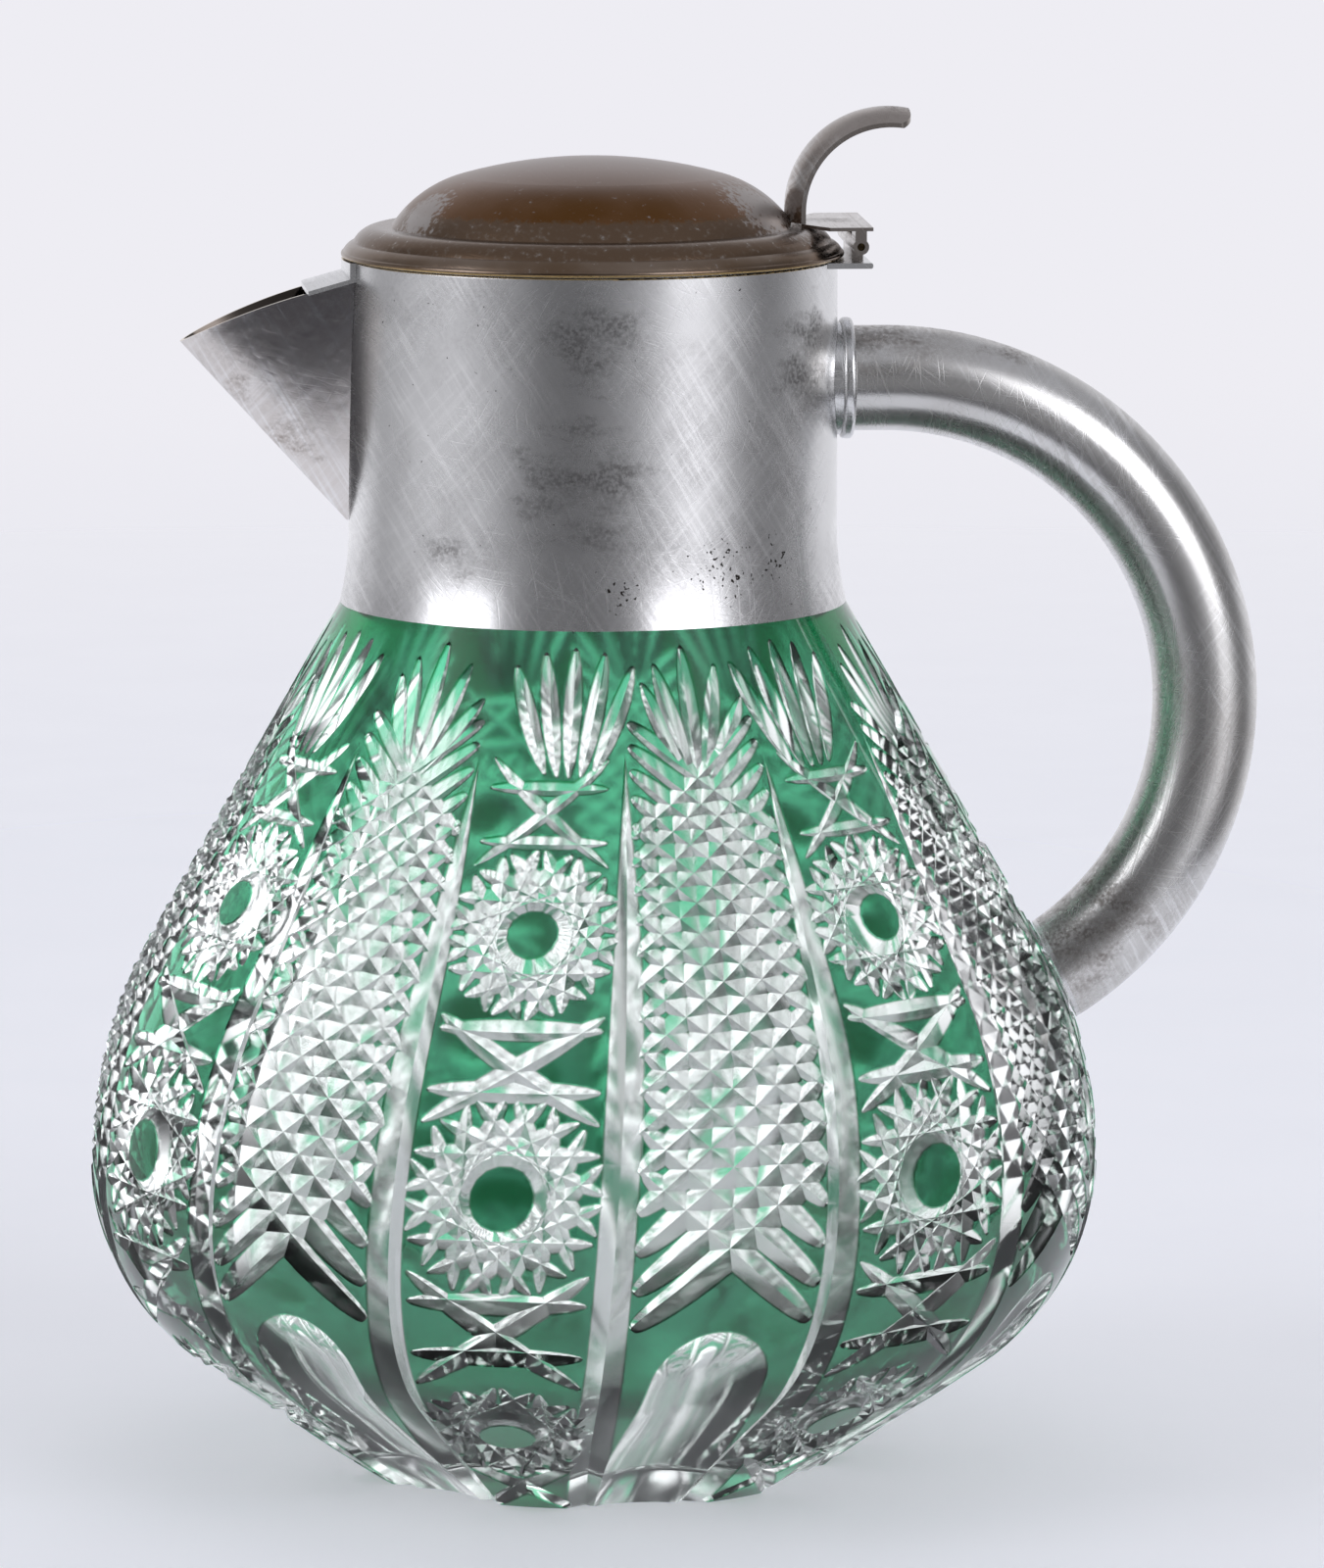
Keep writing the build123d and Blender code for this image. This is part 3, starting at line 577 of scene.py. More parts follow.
# %% [markdown]
# %% [markdown]
# ## Lead crystal with a green skin
# Lead crystal is clear and bends light more than window glass, with an index of
# about 1.54, which is what makes the cuts sparkle. The skin is the same glass
# with chromium in it. One shader serves both: its colour changes from green to
# clear within the skin's thickness, read from the stored depth. The outside is
# polished, and the inside, which is the deepest, has the thin film that wine and
# water leave.

# %% Glass material
GLASS_INDEX = 1.54
SKIN_DEPTHS = (0.12, 0.42)
INSIDE_DEPTHS = (4.0, 4.9)
POLISHED, FILMED = 0.012, 0.115
below_wall = add_node(glass_tree, "ShaderNodeAttribute", attribute_name="cut_depth")
below_wall = below_wall.outputs["Fac"]
clear_share = add_node(glass_tree, "ShaderNodeMapRange", [below_wall, *SKIN_DEPTHS], **SOFT)
glass_place = add_node(glass_tree, "ShaderNodeTexCoord").outputs["Object"]
streaks = add_node(glass_tree, "ShaderNodeTexNoise", {
    "Vector": glass_place, "Scale": 1 / (40 * MM), "Detail": 2.0})
green = add_node(glass_tree, "ShaderNodeMix", {
    SHARE: streaks, UNDER: "0a5e30", OVER: "167648"}, **COLOUR)
tint = add_node(glass_tree, "ShaderNodeMix", {
    SHARE: clear_share, UNDER: green, OVER: "fbfdfc"}, **COLOUR)
inside = add_node(glass_tree, "ShaderNodeMapRange", [
    below_wall, *INSIDE_DEPTHS, POLISHED, FILMED])
glass_shader = add_node(glass_tree, "ShaderNodeBsdfPrincipled", {
    "Base Color": tint, "Roughness": inside, "IOR": GLASS_INDEX,
    "Transmission Weight": 1.0})
add_node(glass_tree, "ShaderNodeOutputMaterial", {"Surface": glass_shader})
print("glass material:", glass.name)

# %% [markdown]
# ## Worn silver plate
# The mounts are brass under a thin coat of silver. Years of polishing leave a
# satin surface full of hairlines that run in short strokes, some straight and
# some in arcs, as a cloth goes. The sheet is also never quite flat, so reflections
# wander along it. Sulphur in the air turns places that are rarely rubbed grey,
# brown and nearly black, in mottled patches. The layers come first: a noise
# pattern whose grain has a real size, soft spots, and hairlines. A Mapping node
# of the Texture kind takes the real size of a pattern, so every scale below is in
# millimetres.

# %% Layers of a worn metal
STROKE_TURNS = (-62, 8, 35)
ARC_SETS = (((4, 0, 214), 0.45, 7), ((-70, 0, 170), 0.5, 6))


def real_grain(tree, place, size, detail=2.0, turn=(0, 0, 0), centre=(0, 0, 0)):
    """Noise with its grain's size in millimetres, also one per turned axis."""
    laid = add_node(tree, "ShaderNodeMapping", {
        "Vector": place, "Location": [c * MM for c in centre],
        "Rotation": [math.radians(t) for t in turn],
        "Scale": [s * MM for s in np.broadcast_to(size, 3)]}, vector_type="TEXTURE")
    return add_node(tree, "ShaderNodeTexNoise", {
        "Vector": laid, "Scale": 1.0, "Detail": detail, "Roughness": 0.6})


def near(tree, place, spots):
    """1 at the middle of any of the spots (x, y, z, radius in mm), 0 outside."""
    total = 0.0
    for x, y, z, radius in spots:
        away = add_node(tree, "ShaderNodeVectorMath", [place, (x * MM, y * MM, z * MM)],
                        operation="DISTANCE")
        here = add_node(tree, "ShaderNodeMapRange", [
            away, 0.15 * radius * MM, radius * MM, 1.0, 0.0], **SOFT)
        total = add_node(tree, "ShaderNodeMath", [total, here], operation="MAXIMUM")
    return total


def arcs(tree, place, centre, width, length):
    """Hairlines along circles about a line through centre that runs along Y."""
    moved = add_node(tree, "ShaderNodeVectorMath", [place, [c * MM for c in centre]],
                     operation="SUBTRACT")
    axes = add_node(tree, "ShaderNodeSeparateXYZ", [moved]).outputs
    flat = add_node(tree, "ShaderNodeCombineXYZ", {"X": axes["X"], "Z": axes["Z"]})
    radius = add_node(tree, "ShaderNodeVectorMath", [flat], operation="LENGTH")
    angle = add_node(tree, "ShaderNodeMath", [axes["Z"], axes["X"]], operation="ARCTAN2")
    across = add_node(tree, "ShaderNodeMath", [radius, width * MM], operation="DIVIDE")
    along = add_node(tree, "ShaderNodeMath", [angle, 20.0 / length], operation="MULTIPLY")
    line = add_node(tree, "ShaderNodeCombineXYZ", [across, along])
    return add_node(tree, "ShaderNodeTexNoise", {
        "Vector": line, "Scale": 1.0, "Detail": 1.0})


def hairlines(tree, place):
    """Polishing marks: short straight strokes and two sets of arcs, 0 to 1."""
    sets = [real_grain(tree, place, (22, 9, 0.4), 2.0, (0, turn, 0), (turn, 0, 0))
            for turn in STROKE_TURNS]
    sets += [arcs(tree, place, *arc_set) for arc_set in ARC_SETS]
    total = 0.0
    for lines in sets:
        sharp = add_node(tree, "ShaderNodeMapRange", [lines, 0.56, 0.72], **SOFT)
        total = add_node(tree, "ShaderNodeMath", [total, sharp], operation="MAXIMUM")
    patchy = add_node(tree, "ShaderNodeMapRange", [
        real_grain(tree, place, 16), 0.35, 0.65, 0.15, 1.0], **SOFT)
    return add_node(tree, "ShaderNodeMath", [total, patchy], operation="MULTIPLY")


def finish_metal(tree, place, colour, rough, lines, dents, depth=0.008):
    """Metal shader on its layers, with low dents and fine lines as bump."""
    wavy = add_node(tree, "ShaderNodeBump", {
        "Height": real_grain(tree, place, 24, 1.0), "Strength": 1.0,
        "Distance": dents * MM})
    bump = add_node(tree, "ShaderNodeBump", {
        "Height": lines, "Strength": 1.0, "Distance": depth * MM, "Normal": wavy,
    }, invert=True)
    shader = add_node(tree, "ShaderNodeBsdfPrincipled", {
        "Base Color": colour, "Roughness": rough, "Normal": bump, "Metallic": 1.0})
    add_node(tree, "ShaderNodeOutputMaterial", {"Surface": shader})


print("sets of polishing marks:", len(STROKE_TURNS) + len(ARC_SETS))

# %% [markdown]
# The plate lays these over each other: a grey haze, two sets of diagonal polishing
# sweeps painted as bright streaks, which is painted sheen over real polishing marks,
# then the mottled dark tarnish, and on the collar the black pits near its foot. The
# spout has a flatter polish; its faces that point up are painted darker, a painted
# shade, and those that point nearly straight up get a brassy tone. Hairlines,
# tarnish and haze also make the metal rougher.

# %% Silver plate
# Polishing sweeps drawn as bright streaks: painted sheen over real polishing marks.
SHEEN_SWEEPS = ((60, 0.6), (-48, 0.35))
PAINTED_SHEEN = "f6f6f6"
PIT = "2b2724"
# Spout tones by facing: a painted shade for faces that point up, and brass for faces that point
# nearly straight up.
SPOUT_SHADE_AND_BRASS = ((0.05, 0.15, "5f5852"), (0.70, 0.78, "b7a37c"))


def worn_plate(name, clean, haze, dark, roughness, dents, spots, pits=(), spout=False):
    """Silver plate with mottled tarnish around the spots, in millimetres, painted sheen along
    its polishing sweeps and, on a spout, painted shade on faces that point up.
    """
    material, tree = new_material(name)
    place = add_node(tree, "ShaderNodeTexCoord").outputs["Object"]
    mottle = add_node(tree, "ShaderNodeMapRange", [
        real_grain(tree, place, 0.8, 4.0), 0.36, 0.62], **SOFT)
    clouds = add_node(tree, "ShaderNodeMapRange", [
        real_grain(tree, place, 26, 4.0), 0.42, 0.68, 0.0, 0.5], **SOFT)
    dotted = add_node(tree, "ShaderNodeMath", [mottle, 0.45, 0.45],
                      operation="MULTIPLY_ADD")
    worn = add_node(tree, "ShaderNodeMath", [clouds, dotted], operation="MULTIPLY")
    layers = [(worn, haze)]
    patchy = add_node(tree, "ShaderNodeMapRange", [
        real_grain(tree, place, 28, 2.0, centre=(9, 4, 3)), 0.38, 0.62], **SOFT)
    # Painted sheen: bright streaks along the diagonal polishing sweeps.
    for turn, share in SHEEN_SWEEPS:
        strokes = real_grain(tree, place, (26, 12, 0.9), 3.0, (0, turn, 0), (turn, 0, 5))
        sheen_sweep = add_node(tree, "ShaderNodeMapRange", [strokes, 0.44, 0.72, 0.0, share],
                         **SOFT)
        sheen_sweep = add_node(tree, "ShaderNodeMath", [sheen_sweep, patchy], operation="MULTIPLY")
        layers.append((sheen_sweep, PAINTED_SHEEN))
    ragged = add_node(tree, "ShaderNodeMath", [
        near(tree, place, spots), 0.45, real_grain(tree, place, (11, 11, 5), 5.0),
    ], operation="MULTIPLY_ADD")
    patch = add_node(tree, "ShaderNodeMapRange", [ragged, 0.74, 1.06], **SOFT)
    speckled = add_node(tree, "ShaderNodeMath", [mottle, 0.50, 0.20],
                        operation="MULTIPLY_ADD")
    stained = add_node(tree, "ShaderNodeMath", [patch, speckled], operation="MULTIPLY")
    layers.append((stained, dark))
    if pits:
        depth = add_node(tree, "ShaderNodeMath", [
            near(tree, place, pits), 0.17, real_grain(tree, place, 0.9, 1.0),
        ], operation="MULTIPLY_ADD")
        pitted = add_node(tree, "ShaderNodeMapRange", [depth, 0.77, 0.82], **SOFT)
        layers.append((pitted, PIT))
        stained = add_node(tree, "ShaderNodeMath", [stained, pitted],
                           operation="MAXIMUM")
    if spout:
        facing = add_node(tree, "ShaderNodeNewGeometry").outputs["Normal"]
        upward = add_node(tree, "ShaderNodeSeparateXYZ", [facing]).outputs["Z"]
        # Painted shade: faces that point upward are painted a darker grey, and faces that point
        # nearly straight up a brassy tone.
        for low, high, tone in SPOUT_SHADE_AND_BRASS:
            turned_up = add_node(tree, "ShaderNodeMapRange", [upward, low, high], **SOFT)
            layers.append((turned_up, tone))
    colour = clean
    for share, tone in layers:
        colour = add_node(tree, "ShaderNodeMix", {
            SHARE: share, UNDER: colour, OVER: tone}, **COLOUR)
    lines = add_node(tree, "ShaderNodeMath", [
        hairlines(tree, place), 0.08 if spout else 1.0], operation="MULTIPLY")
    rough = roughness
    for layer, gain in ((lines, 0.08), (stained, 0.20), (worn, 0.10)):
        rough = add_node(tree, "ShaderNodeMath", [layer, gain, rough],
                         operation="MULTIPLY_ADD")
    finish_metal(tree, place, colour, rough, lines, dents)
    return material


COLLAR_SPOTS = [(-5, -47.5, 198, 26), (-2, -47.6, 226, 20), (40, -26, 222, 22),
                (-30, -37, 184, 11), (-45, 15, 210, 20), (10, 46, 205, 18)]
COLLAR_PITS = [(22.8, -42.0, 183.4, 11), (33, -34.5, 184, 8), (3.0, -47.8, 178.6, 7)]
silver = worn_plate("worn_silver_plate", "dcdcdc", "a09e9e", "4b4745", 0.23, 0.16,
                    COLLAR_SPOTS, COLLAR_PITS)
spout_silver = worn_plate(
    "spout_silver_plate", "d9d4d0", "aaa39e", "84756a", 0.09, 0.04,
    [(-60, -6, 203, 14), (-70, -4, 213, 9), (-52, -8, 193, 9)], spout=True)
satin = worn_plate("satin_silver_plate", "d2d1cf", "a39d98", "5e524a", 0.23, 0.05,
                   [(58, -4, 232, 32), (80, -4, 230, 24), (95, -4, 110, 34)])
browned = worn_plate("browned_silver_plate", "aaa29c", "8a7f78", "51463e", 0.20, 0.05,
                     [(42, 0, 252, 10), (60, 0, 268, 9), (45, 0, 246, 12)])
print("silver plates:", [plate.name for plate in (silver, spout_silver, satin, browned)])

# %% [markdown]
# ## The lid's brown tarnish
# The lid has never been polished as hard as the collar. Its dome has an even
# bronze-brown film, which ends in a speckled edge just above the ledge and is
# rubbed through to grey beside the lever, where the thumb rests. The rim is a
# paler brown and shows brass on its lower lip. Height decides which zone a point
# is in, and noise breaks the borders up.

# %% Lid material
LIP_HEIGHTS = (0.2397, 0.2401)
RIM_HEIGHTS = (0.2421, 0.2427)
DOME_HEIGHTS = (250.6 * MM, 251.6 * MM)
CROWN_HEIGHTS = (0.252, 0.259)
RUBBED_SPOTS = [(34, -16, 252, 16), (36, -2, 253, 11), (-35, -14, 250, 11)]


def lid_film():
    """Brown film whose colours change with height, rubbed through in places."""
    material, tree = new_material("bronze_brown_tarnish")
    place = add_node(tree, "ShaderNodeTexCoord").outputs["Object"]
    height = add_node(tree, "ShaderNodeSeparateXYZ", [place]).outputs["Z"]
    speckle = real_grain(tree, place, 1.3, 3.0)
    drift = real_grain(tree, place, 22, 3.0)
    drifting = add_node(tree, "ShaderNodeMapRange", [drift, 0.35, 0.65], **SOFT)
    level = add_node(tree, "ShaderNodeMath", [speckle, 3.0 * MM, height],
                     operation="MULTIPLY_ADD")
    level = add_node(tree, "ShaderNodeMath", [drift, 1.5 * MM, level],
                     operation="MULTIPLY_ADD")
    on_dome = add_node(tree, "ShaderNodeMapRange", [level, *DOME_HEIGHTS], **SOFT)
    on_crown = add_node(tree, "ShaderNodeMapRange", [height, *CROWN_HEIGHTS], **SOFT)
    on_rim = add_node(tree, "ShaderNodeMapRange", [height, *RIM_HEIGHTS, 1.0, 0.0], **SOFT)
    on_lip = add_node(tree, "ShaderNodeMapRange", [height, *LIP_HEIGHTS, 1.0, 0.0], **SOFT)
    rubbed = add_node(tree, "ShaderNodeMath", [
        near(tree, place, RUBBED_SPOTS), 0.42, speckle], operation="MULTIPLY_ADD")
    rubbed = add_node(tree, "ShaderNodeMapRange", [rubbed, 0.62, 0.82, 0.0, 0.8], **SOFT)
    dome = add_node(tree, "ShaderNodeMix", {
        SHARE: drifting, UNDER: "644322", OVER: "715239"}, **COLOUR)
    dome = add_node(tree, "ShaderNodeMix", {
        SHARE: on_crown, UNDER: dome, OVER: "7d6c63"}, **COLOUR)
    spotted = add_node(tree, "ShaderNodeMapRange", [speckle, 0.50, 0.80], **SOFT)
    colour = add_node(tree, "ShaderNodeMix", {
        SHARE: spotted, UNDER: "6a5747", OVER: "84786d"}, **COLOUR)
    rim = add_node(tree, "ShaderNodeMix", {
        SHARE: drifting, UNDER: "6d5a49", OVER: "86776a"}, **COLOUR)
    for share, tone in ((on_dome, dome), (on_rim, rim), (rubbed, "aaa5a2"),
                        (on_lip, "b89c66")):
        colour = add_node(tree, "ShaderNodeMix", {
            SHARE: share, UNDER: colour, OVER: tone}, **COLOUR)
    rough = 0.24
    for layer, gain in ((on_dome, 0.06), (rubbed, 0.10)):
        rough = add_node(tree, "ShaderNodeMath", [layer, gain, rough],
                         operation="MULTIPLY_ADD")
    finish_metal(tree, place, colour, rough, hairlines(tree, place), 0.03, 0.010)
    return material


film = lid_film()
print("lid material:", film.name)

# %% [markdown]
# The hinge's pin is bare brass gone dark, and the ring that holds the collar on
# the neck is plaster. With these every measured part gets its finish.

# %% Brass, plaster and who gets what
METAL_EDGE = 25
brass, brass_tree = new_material("dark_brass")
brass_place = add_node(brass_tree, "ShaderNodeTexCoord").outputs["Object"]
brass_grain = real_grain(brass_tree, brass_place, 1.0)
brass_share = add_node(brass_tree, "ShaderNodeMapRange", [brass_grain, 0.4, 0.6], **SOFT)
brass_colour = add_node(brass_tree, "ShaderNodeMix", {
    SHARE: brass_share, UNDER: "3b3124", OVER: "6b5838"}, **COLOUR)
brass_rough = add_node(brass_tree, "ShaderNodeMapRange", [
    brass_grain, 0.3, 0.7, 0.35, 0.5], **SOFT)
finish_metal(brass_tree, brass_place, brass_colour, brass_rough,
             hairlines(brass_tree, brass_place), 0.02)

plaster, plaster_tree = new_material("plaster_of_paris")
plaster_place = add_node(plaster_tree, "ShaderNodeTexCoord").outputs["Object"]
plaster_grain = real_grain(plaster_tree, plaster_place, 1.2, 3.0)
chalk = add_node(plaster_tree, "ShaderNodeMix", {
    SHARE: plaster_grain, UNDER: "cfc9b8", OVER: "e4dfd0"}, **COLOUR)
plaster_shader = add_node(plaster_tree, "ShaderNodeBsdfPrincipled", {
    "Base Color": chalk, "Roughness": 0.9})
add_node(plaster_tree, "ShaderNodeOutputMaterial", {"Surface": plaster_shader})

FINISHES = {"lid_rim": film, "lid_dome": film, "hinge_pin": brass, "plaster_bed": plaster,
            "spout_shell": spout_silver, "handle_tube": satin, "thumb_lever": browned,
            "lid_hinge_leaf": browned, "lid_knuckle_front": browned,
            "lid_knuckle_back": browned, "collar_hinge_knuckle": browned}
for name, part in nodes.items():
    if name != "crystal_body":
        part.data.materials.clear()
        part.data.materials.append(FINISHES.get(name, silver))
        shade_by_angle(part, METAL_EDGE)
print("finished parts:", len(nodes) - 1)

# %% [markdown]
# ## Paper on a table
# The jug stands on a sheet of pale paper on an oval table that ends about 0.4 m
# in front of it. Beyond the table the paper is see-through, so that metal and
# glass show the room there, and for rays that come through glass it ends sooner.
# The eye sees it run on and fade out far away. The light in the room reaches the
# paper from all around, and a small glow lifts it to the tone that the eye and
# the polished metal see.

# %% Paper floor
EYE_LIFT = 0.36
METAL_LIFT = 0.45
GLASS_TABLE = 2.4
TABLE_MIDDLE = (0, 0.25, 0)
TABLE_HALF = (0.36, 0.63, 1.0)
paper, paper_tree = new_material("pale_paper")
paper_place = add_node(paper_tree, "ShaderNodeTexCoord").outputs["Object"]
rays = add_node(paper_tree, "ShaderNodeLightPath").outputs
paper_grain = real_grain(paper_tree, paper_place, 60, 3.0)
in_metal = add_node(paper_tree, "ShaderNodeMath", [rays["Is Glossy Ray"], METAL_LIFT],
                    operation="MULTIPLY")
lift = add_node(paper_tree, "ShaderNodeMath", [rays["Is Camera Ray"], EYE_LIFT, in_metal],
                operation="MULTIPLY_ADD")
paper_tone = add_node(paper_tree, "ShaderNodeMix", {
    SHARE: paper_grain, UNDER: "d2d3d9", OVER: "dadbe0"}, **COLOUR)
# Painted shade: seen through the glass, the paper is painted a darker grey, so the glass's lower
# part looks darker.
paper_tone = add_node(paper_tree, "ShaderNodeMix", {
    SHARE: rays["Is Transmission Ray"], UNDER: paper_tone, OVER: "747579"}, **COLOUR)
paper_shader = add_node(paper_tree, "ShaderNodeBsdfPrincipled", {
    "Base Color": paper_tone, "Roughness": 0.9, "Emission Color": "ecedf3",
    "Emission Strength": lift})
from_table = add_node(paper_tree, "ShaderNodeMapping", {
    "Vector": paper_place, "Location": TABLE_MIDDLE, "Scale": TABLE_HALF,
}, vector_type="TEXTURE")
reach = add_node(paper_tree, "ShaderNodeVectorMath", [from_table], operation="LENGTH")
nearer = add_node(paper_tree, "ShaderNodeMath", [
    rays["Is Transmission Ray"], GLASS_TABLE - 1, 1.0], operation="MULTIPLY_ADD")
reach = add_node(paper_tree, "ShaderNodeMath", [reach, nearer], operation="MULTIPLY")
table = add_node(paper_tree, "ShaderNodeMapRange", [reach, 0.975, 1.025, 1.0, 0.0], **SOFT)
from_jug = add_node(paper_tree, "ShaderNodeVectorMath", [paper_place], operation="LENGTH")
wide = add_node(paper_tree, "ShaderNodeMapRange", [from_jug, 0.5, 2.2, 1.0, 0.0], **SOFT)
wide = add_node(paper_tree, "ShaderNodeMath", [wide, rays["Is Camera Ray"]],
                operation="MULTIPLY")
solid = add_node(paper_tree, "ShaderNodeMath", [table, wide], operation="MAXIMUM")
clear_air = add_node(paper_tree, "ShaderNodeBsdfTransparent")
faded = add_node(paper_tree, "ShaderNodeMixShader", [solid, clear_air, paper_shader])
add_node(paper_tree, "ShaderNodeOutputMaterial", {"Surface": faded})

PAPER_HALF = 2300
PAPER_HEIGHT = -0.2
corners = ((-1, -1), (1, -1), (1, 1), (-1, 1))
floor = mesh_object("floor", [(x * PAPER_HALF, y * PAPER_HALF, PAPER_HEIGHT)
                              for x, y in corners], [(0, 1, 2, 3)])
floor.data.materials.append(paper)
print("paper:", 2 * PAPER_HALF, "mm wide")

# %% [markdown]
# ## Studio
# Nearly all light comes from the room around the jug, which is a world. One real
# lamp above it, a soft box that neither the eye nor the metal sees, adds a little
# light from the top.

# %% Top lamp
LAMP_PLACE = Vector((0.0, 0.25, 1.60))
LAMP_AIM = Vector((0.0, 0.0, 0.2))
lamp_data = bpy.data.lights.new("top_box", "AREA")
lamp_data.shape = "RECTANGLE"
lamp_data.size, lamp_data.size_y = 1.2, 1.0
lamp_data.energy = 1.6
lamp = bpy.data.objects.new("top_box", lamp_data)
lamp.location = LAMP_PLACE
lamp.rotation_euler = (LAMP_AIM - LAMP_PLACE).to_track_quat("-Z", "Y").to_euler()
lamp.visible_camera = False
lamp.visible_glossy = False
scene.collection.objects.link(lamp)
print("lamp:", lamp.name, lamp_data.energy, "W")

# %% [markdown]
# Polished metal and cut glass show the whole room, so the room matters as much as
# the light: two tall soft boxes stand left and right of the camera, the room
# between and beside them is dim, and behind the jug it is white. Its brightness is
# written by bearing, from -180 to 180 degrees with the camera at 0, once for eye
# level and once for higher up, where the boxes are.

# %% Walls of the room
BLUER = 1.05
LEVEL = [(-180, 0.95), (-150, 0.95), (-136, 0.72), (-122, 0.42), (-110, 0.50), (-98, 0.62),
         (-78, 0.68), (-64, 0.64), (-54, 0.50), (-45, 0.40), (-36, 0.29), (-28, 0.17),
         (-12, 0.15), (2, 0.22), (16, 0.35), (26, 0.55), (36, 1.05), (48, 1.10), (58, 0.80),
         (68, 0.40), (80, 0.22), (98, 0.26), (107, 0.42), (119, 0.66), (134, 0.84), (180, 0.95)]
RAISED = [(-180, 0.20), (-140, 0.18), (-125, 0.08), (-100, 0.07), (-90, 0.12), (-82, 0.72),
          (-56, 0.72), (-48, 0.10), (-34, 0.04), (8, 0.04), (20, 0.08), (30, 0.80),
          (54, 0.80), (62, 0.10), (76, 0.05), (100, 0.05), (116, 0.09), (134, 0.17), (180, 0.20)]
world = bpy.data.worlds.new("studio")
scene.world = world
world.use_nodes = True
air = world.node_tree
air.nodes.clear()
direction = add_node(air, "ShaderNodeTexCoord").outputs["Generated"]
split = add_node(air, "ShaderNodeSeparateXYZ", [direction]).outputs
height = split["Z"]
towards = add_node(air, "ShaderNodeMath", [split["Y"], -1.0], operation="MULTIPLY")
bearing = add_node(air, "ShaderNodeMath", [split["X"], towards], operation="ARCTAN2")
round_share = add_node(air, "ShaderNodeMapRange", [bearing, -math.pi, math.pi])
walls = []
for stops in (LEVEL, RAISED):
    wall_tone = add_node(air, "ShaderNodeValToRGB", [round_share])
    ramp = wall_tone.color_ramp
    ramp.interpolation = "EASE"
    while len(ramp.elements) > 1:
        ramp.elements.remove(ramp.elements[-1])
    for i, (angle, brightness) in enumerate(stops):
        stop = ramp.elements[0] if i == 0 else ramp.elements.new(angle / 360 + 0.5)
        stop.position = angle / 360 + 0.5
        stop.color = (brightness, brightness, brightness * BLUER, 1.0)
    walls.append(wall_tone)
level_wall, raised_wall = walls
print("stops of the room:", len(LEVEL), "and", len(RAISED))

# %% [markdown]
# The metal sees the two walls over each other, with the boxes much brighter than
# white, a dark floor in front beyond the table, and a grey ceiling.

# %% What the metal sees
BOX_GAIN = 4.0
DARK_FLOOR = "48484d"
CEILING = "b9bac0"
lit_boxes = add_node(air, "ShaderNodeVectorMath", {0: raised_wall, "Scale": BOX_GAIN},
                     operation="SCALE")
raised = add_node(air, "ShaderNodeMapRange", [height, 0.03, 0.22], **SOFT)
low_down = add_node(air, "ShaderNodeMapRange", [height, -0.45, -0.28, 1.0, 0.0], **SOFT)
in_front = add_node(air, "ShaderNodeMapRange", [towards, -0.1, 0.3], **SOFT)
below = add_node(air, "ShaderNodeMath", [low_down, in_front], operation="MULTIPLY")
overhead = add_node(air, "ShaderNodeMapRange", [height, 0.45, 0.80], **SOFT)
room = level_wall
for share, tone in ((raised, lit_boxes), (below, DARK_FLOOR), (overhead, CEILING)):
    room = add_node(air, "ShaderNodeMix", {SHARE: share, UNDER: room, OVER: tone}, **COLOUR)
print("room nodes so far:", len(air.nodes))

# %% [markdown]
# Rays that have passed through the glass see a simpler room: a wall that is
# bright above and falls off below, a little brighter on the left and dimmer in
# front. Neighbouring facets look up, down, left and right, so they differ in
# tone. That contrast is what makes cut glass sparkle. Rays that come straight to
# the eye see plain pale paper, so the background stays even from every side.

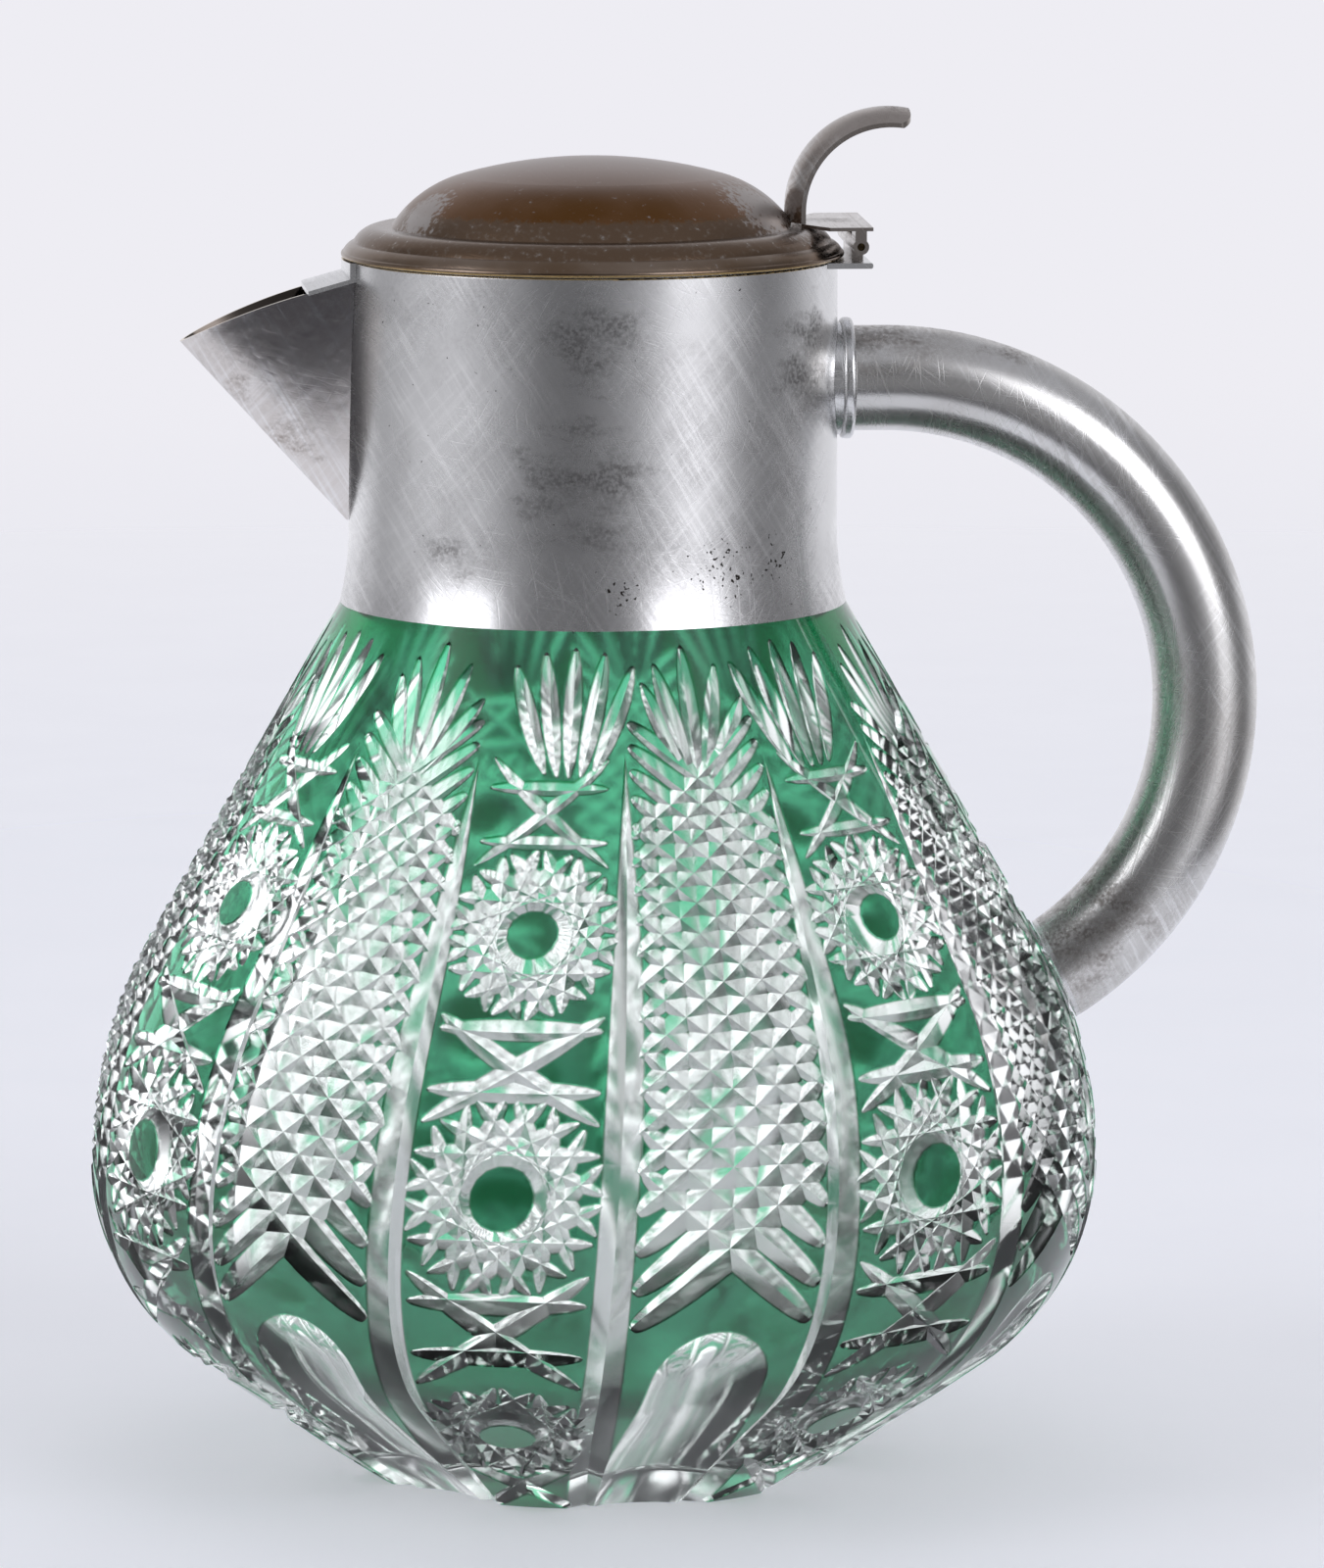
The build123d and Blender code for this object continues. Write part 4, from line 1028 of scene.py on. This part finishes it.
# %% What the glass sees
FRONT_SHARE = 0.62
climb = add_node(air, "ShaderNodeMapRange", [height, -0.32, 0.22, 0.12, 2.1], **SOFT)
for source, *ends in ((split["X"], -0.4, 0.7, 1.12, 0.66),
                      (towards, -0.3, 0.3, 1.0, FRONT_SHARE),
                      (height, -0.60, -0.30, 0.05, 1.0)):
    factor = add_node(air, "ShaderNodeMapRange", [source, *ends], **SOFT)
    climb = add_node(air, "ShaderNodeMath", [climb, factor], operation="MULTIPLY")
through_glass = add_node(air, "ShaderNodeVectorMath", {
    0: linear("f2f3f6")[:3], "Scale": climb}, operation="SCALE")
rays = add_node(air, "ShaderNodeLightPath").outputs
for ray, tone in (("Is Transmission Ray", through_glass), ("Is Camera Ray", "eeedf3")):
    room = add_node(air, "ShaderNodeMix", {
        SHARE: rays[ray], UNDER: room, OVER: tone}, **COLOUR)
sky = add_node(air, "ShaderNodeBackground", {"Color": room, "Strength": 1.0})
add_node(air, "ShaderNodeOutputWorld", {"Surface": sky})
print("room nodes:", len(air.nodes))

# %% [markdown]
# ## Camera
# The camera's place, tilt and long lens were fitted to the photograph: about
# 1.75 m away, 0.4 m up and 8.5 degrees down, with the jug left of the middle to
# leave room for its handle.

# %% Camera
FOCAL_PIXELS = 9172
IMAGE_HEIGHT = 1600
SENSOR = 36.0
LEFT_PIXELS = 71
PITCH = 0.14765
BEARING = math.radians(3.5) + math.atan2(LEFT_PIXELS, FOCAL_PIXELS)
camera_data = bpy.data.cameras.new("camera")
camera_data.sensor_width = SENSOR
camera_data.lens = FOCAL_PIXELS / IMAGE_HEIGHT * SENSOR
camera = bpy.data.objects.new("camera", camera_data)
camera.location = (-0.10683, -1.74674, 0.39552)
look = Vector((
    math.sin(BEARING) * math.cos(PITCH),
    math.cos(BEARING) * math.cos(PITCH),
    -math.sin(PITCH),
))
camera.rotation_euler = look.to_track_quat("-Z", "Y").to_euler()
scene.collection.objects.link(camera)
scene.camera = camera
scene.view_settings.view_transform = "Standard"
print("lens:", round(camera_data.lens, 1), "mm")

# %% [markdown]
# ## Last step
# The view layer is brought up to date.

# %% Finish
bpy.context.view_layer.update()
